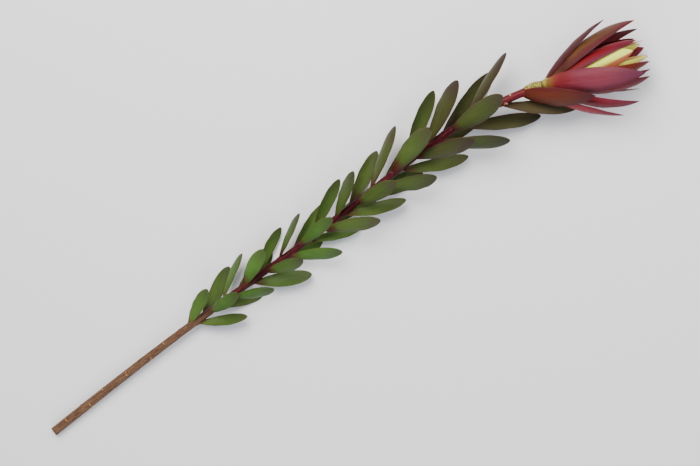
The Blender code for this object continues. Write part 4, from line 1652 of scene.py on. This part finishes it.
@dataclass(frozen=True)
class Studio:
    """Pale floor, soft lights and the camera, which looks down on the stem."""

    frame_width: int = 700
    pixels_per_mm: float = 1.22
    lens: float = 85.0
    sensor: float = 36.0
    tilt: float = math.radians(12.0)
    from_vertical: float = math.radians(53.0)
    aim: Vector = Vector((0.014, 0.002, -0.028))
    far_clip: float = 50.0
    floor_half: float = 4.0
    floor_drop: float = 0.05 * MM
    floor_colour: Colour = (243, 243, 247)
    floor_roughness: float = 0.85
    world_colour: Colour = (228, 230, 235)
    world_strength: float = 0.35

    def floor(self) -> None:
        """Flat square just under the stem, with a matt paper finish."""
        mesh = bpy.data.meshes.new("floor")
        signs = ((-1, -1), (1, -1), (1, 1), (-1, 1))
        corners = [(self.floor_half * x, self.floor_half * y, -self.floor_drop) for x, y in signs]
        mesh.from_pydata(corners, [], [(0, 1, 2, 3)])
        sheet = ShaderSheet("floor_paper")
        sheet.feed(sheet.shader.inputs["Base Color"], linear(self.floor_colour))
        sheet.feed(sheet.shader.inputs["Roughness"], self.floor_roughness)
        mesh.materials.append(sheet.material)
        floor = bpy.data.objects.new("floor", mesh)
        bpy.context.scene.collection.objects.link(floor)
        floor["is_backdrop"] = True

    def world(self) -> None:
        """Even pale surroundings."""
        world = bpy.data.worlds.new("surroundings")
        world.use_nodes = True
        background = world.node_tree.nodes["Background"]
        background.inputs["Color"].default_value = linear(self.world_colour)
        background.inputs["Strength"].default_value = self.world_strength
        bpy.context.scene.world = world

    @staticmethod
    def aimed(place: Vector, target: Vector, up: Vector) -> Matrix:
        """Matrix of a light or camera at a place that looks at a target.

        Args:
            place: Where it stands.
            target: Where it looks.
            up: Direction that shows upwards.

        Returns:
            The matrix, whose columns are right, up and back, and the place.
        """
        back = (place - target).normalized()
        right = up.cross(back).normalized()
        matrix = Matrix((right, back.cross(right), back)).transposed().to_4x4()
        matrix.translation = place
        return matrix

    def light(self, name: str, place: Triple, size: float, energy: float, colour: Colour) -> None:
        """Square area light over the stem that looks at its middle.

        Args:
            name: Its name.
            place: Where it stands.
            size: Its width in metres.
            energy: Its power in watts.
            colour: Its screen colour.
        """
        data = bpy.data.lights.new(name, "AREA")
        data.size = size
        data.energy = energy
        data.color = tuple(float(c) for c in linear(colour)[:3])
        lamp = bpy.data.objects.new(name, data)
        bpy.context.scene.collection.objects.link(lamp)
        lamp.matrix_world = self.aimed(Vector(place), Vector((0.0, 0.0, 0.0)), Vector((0.0, 1.0, 0.1)))

    def camera(self) -> None:
        """Camera over the middle of the stem, tilted towards the head and rolled.

        The stem shows at the given angle from the picture's vertical: the picture's up direction is
        cos(angle) of the stem's own direction and sin(angle) of the direction to its left. The
        distance gives the wanted number of pixels for each millimetre.
        """
        low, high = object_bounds()
        target = 0.5 * (low + high) + self.aim
        back = Vector((math.sin(self.tilt), 0.0, math.cos(self.tilt)))
        along = Vector((math.cos(self.tilt), 0.0, -math.sin(self.tilt)))
        up = math.cos(self.from_vertical) * along + math.sin(self.from_vertical) * back.cross(along)
        distance = self.lens * self.frame_width / (self.sensor * self.pixels_per_mm) * MM
        data = bpy.data.cameras.new("camera")
        data.lens = self.lens
        data.sensor_width = self.sensor
        data.clip_end = self.far_clip
        camera = bpy.data.objects.new("camera", data)
        bpy.context.scene.collection.objects.link(camera)
        camera.matrix_world = self.aimed(target + back * distance, target, up)
        bpy.context.scene.camera = camera

    def make(self) -> None:
        """Sets up the floor, the surroundings, the lights and the camera."""
        self.floor()
        self.world()
        self.light("key_light", (0.35, 0.75, 1.15), 0.9, 34.0, (255, 250, 244))
        self.light("fill_light", (-0.6, -0.9, 0.9), 1.2, 12.0, (240, 246, 255))
        self.light("head_light", (1.2, -0.2, 0.7), 0.8, 8.0, (255, 252, 248))
        self.camera()


def main() -> None:
    """Builds the dressed stem in order."""
    logging.basicConfig(level=logging.INFO, format="%(name)s: %(message)s")
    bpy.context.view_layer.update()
    rng = random.Random(SEED)
    fine = random.Random(FINE_SEED)
    Studio().make()
    foliage = Foliage(rng, fine)
    grown, bare = foliage.blades()
    Stem(grown, bare, fine).make()
    foliage.make(grown)
    Head(rng, fine).make()


if __name__ == "__main__":
    main()
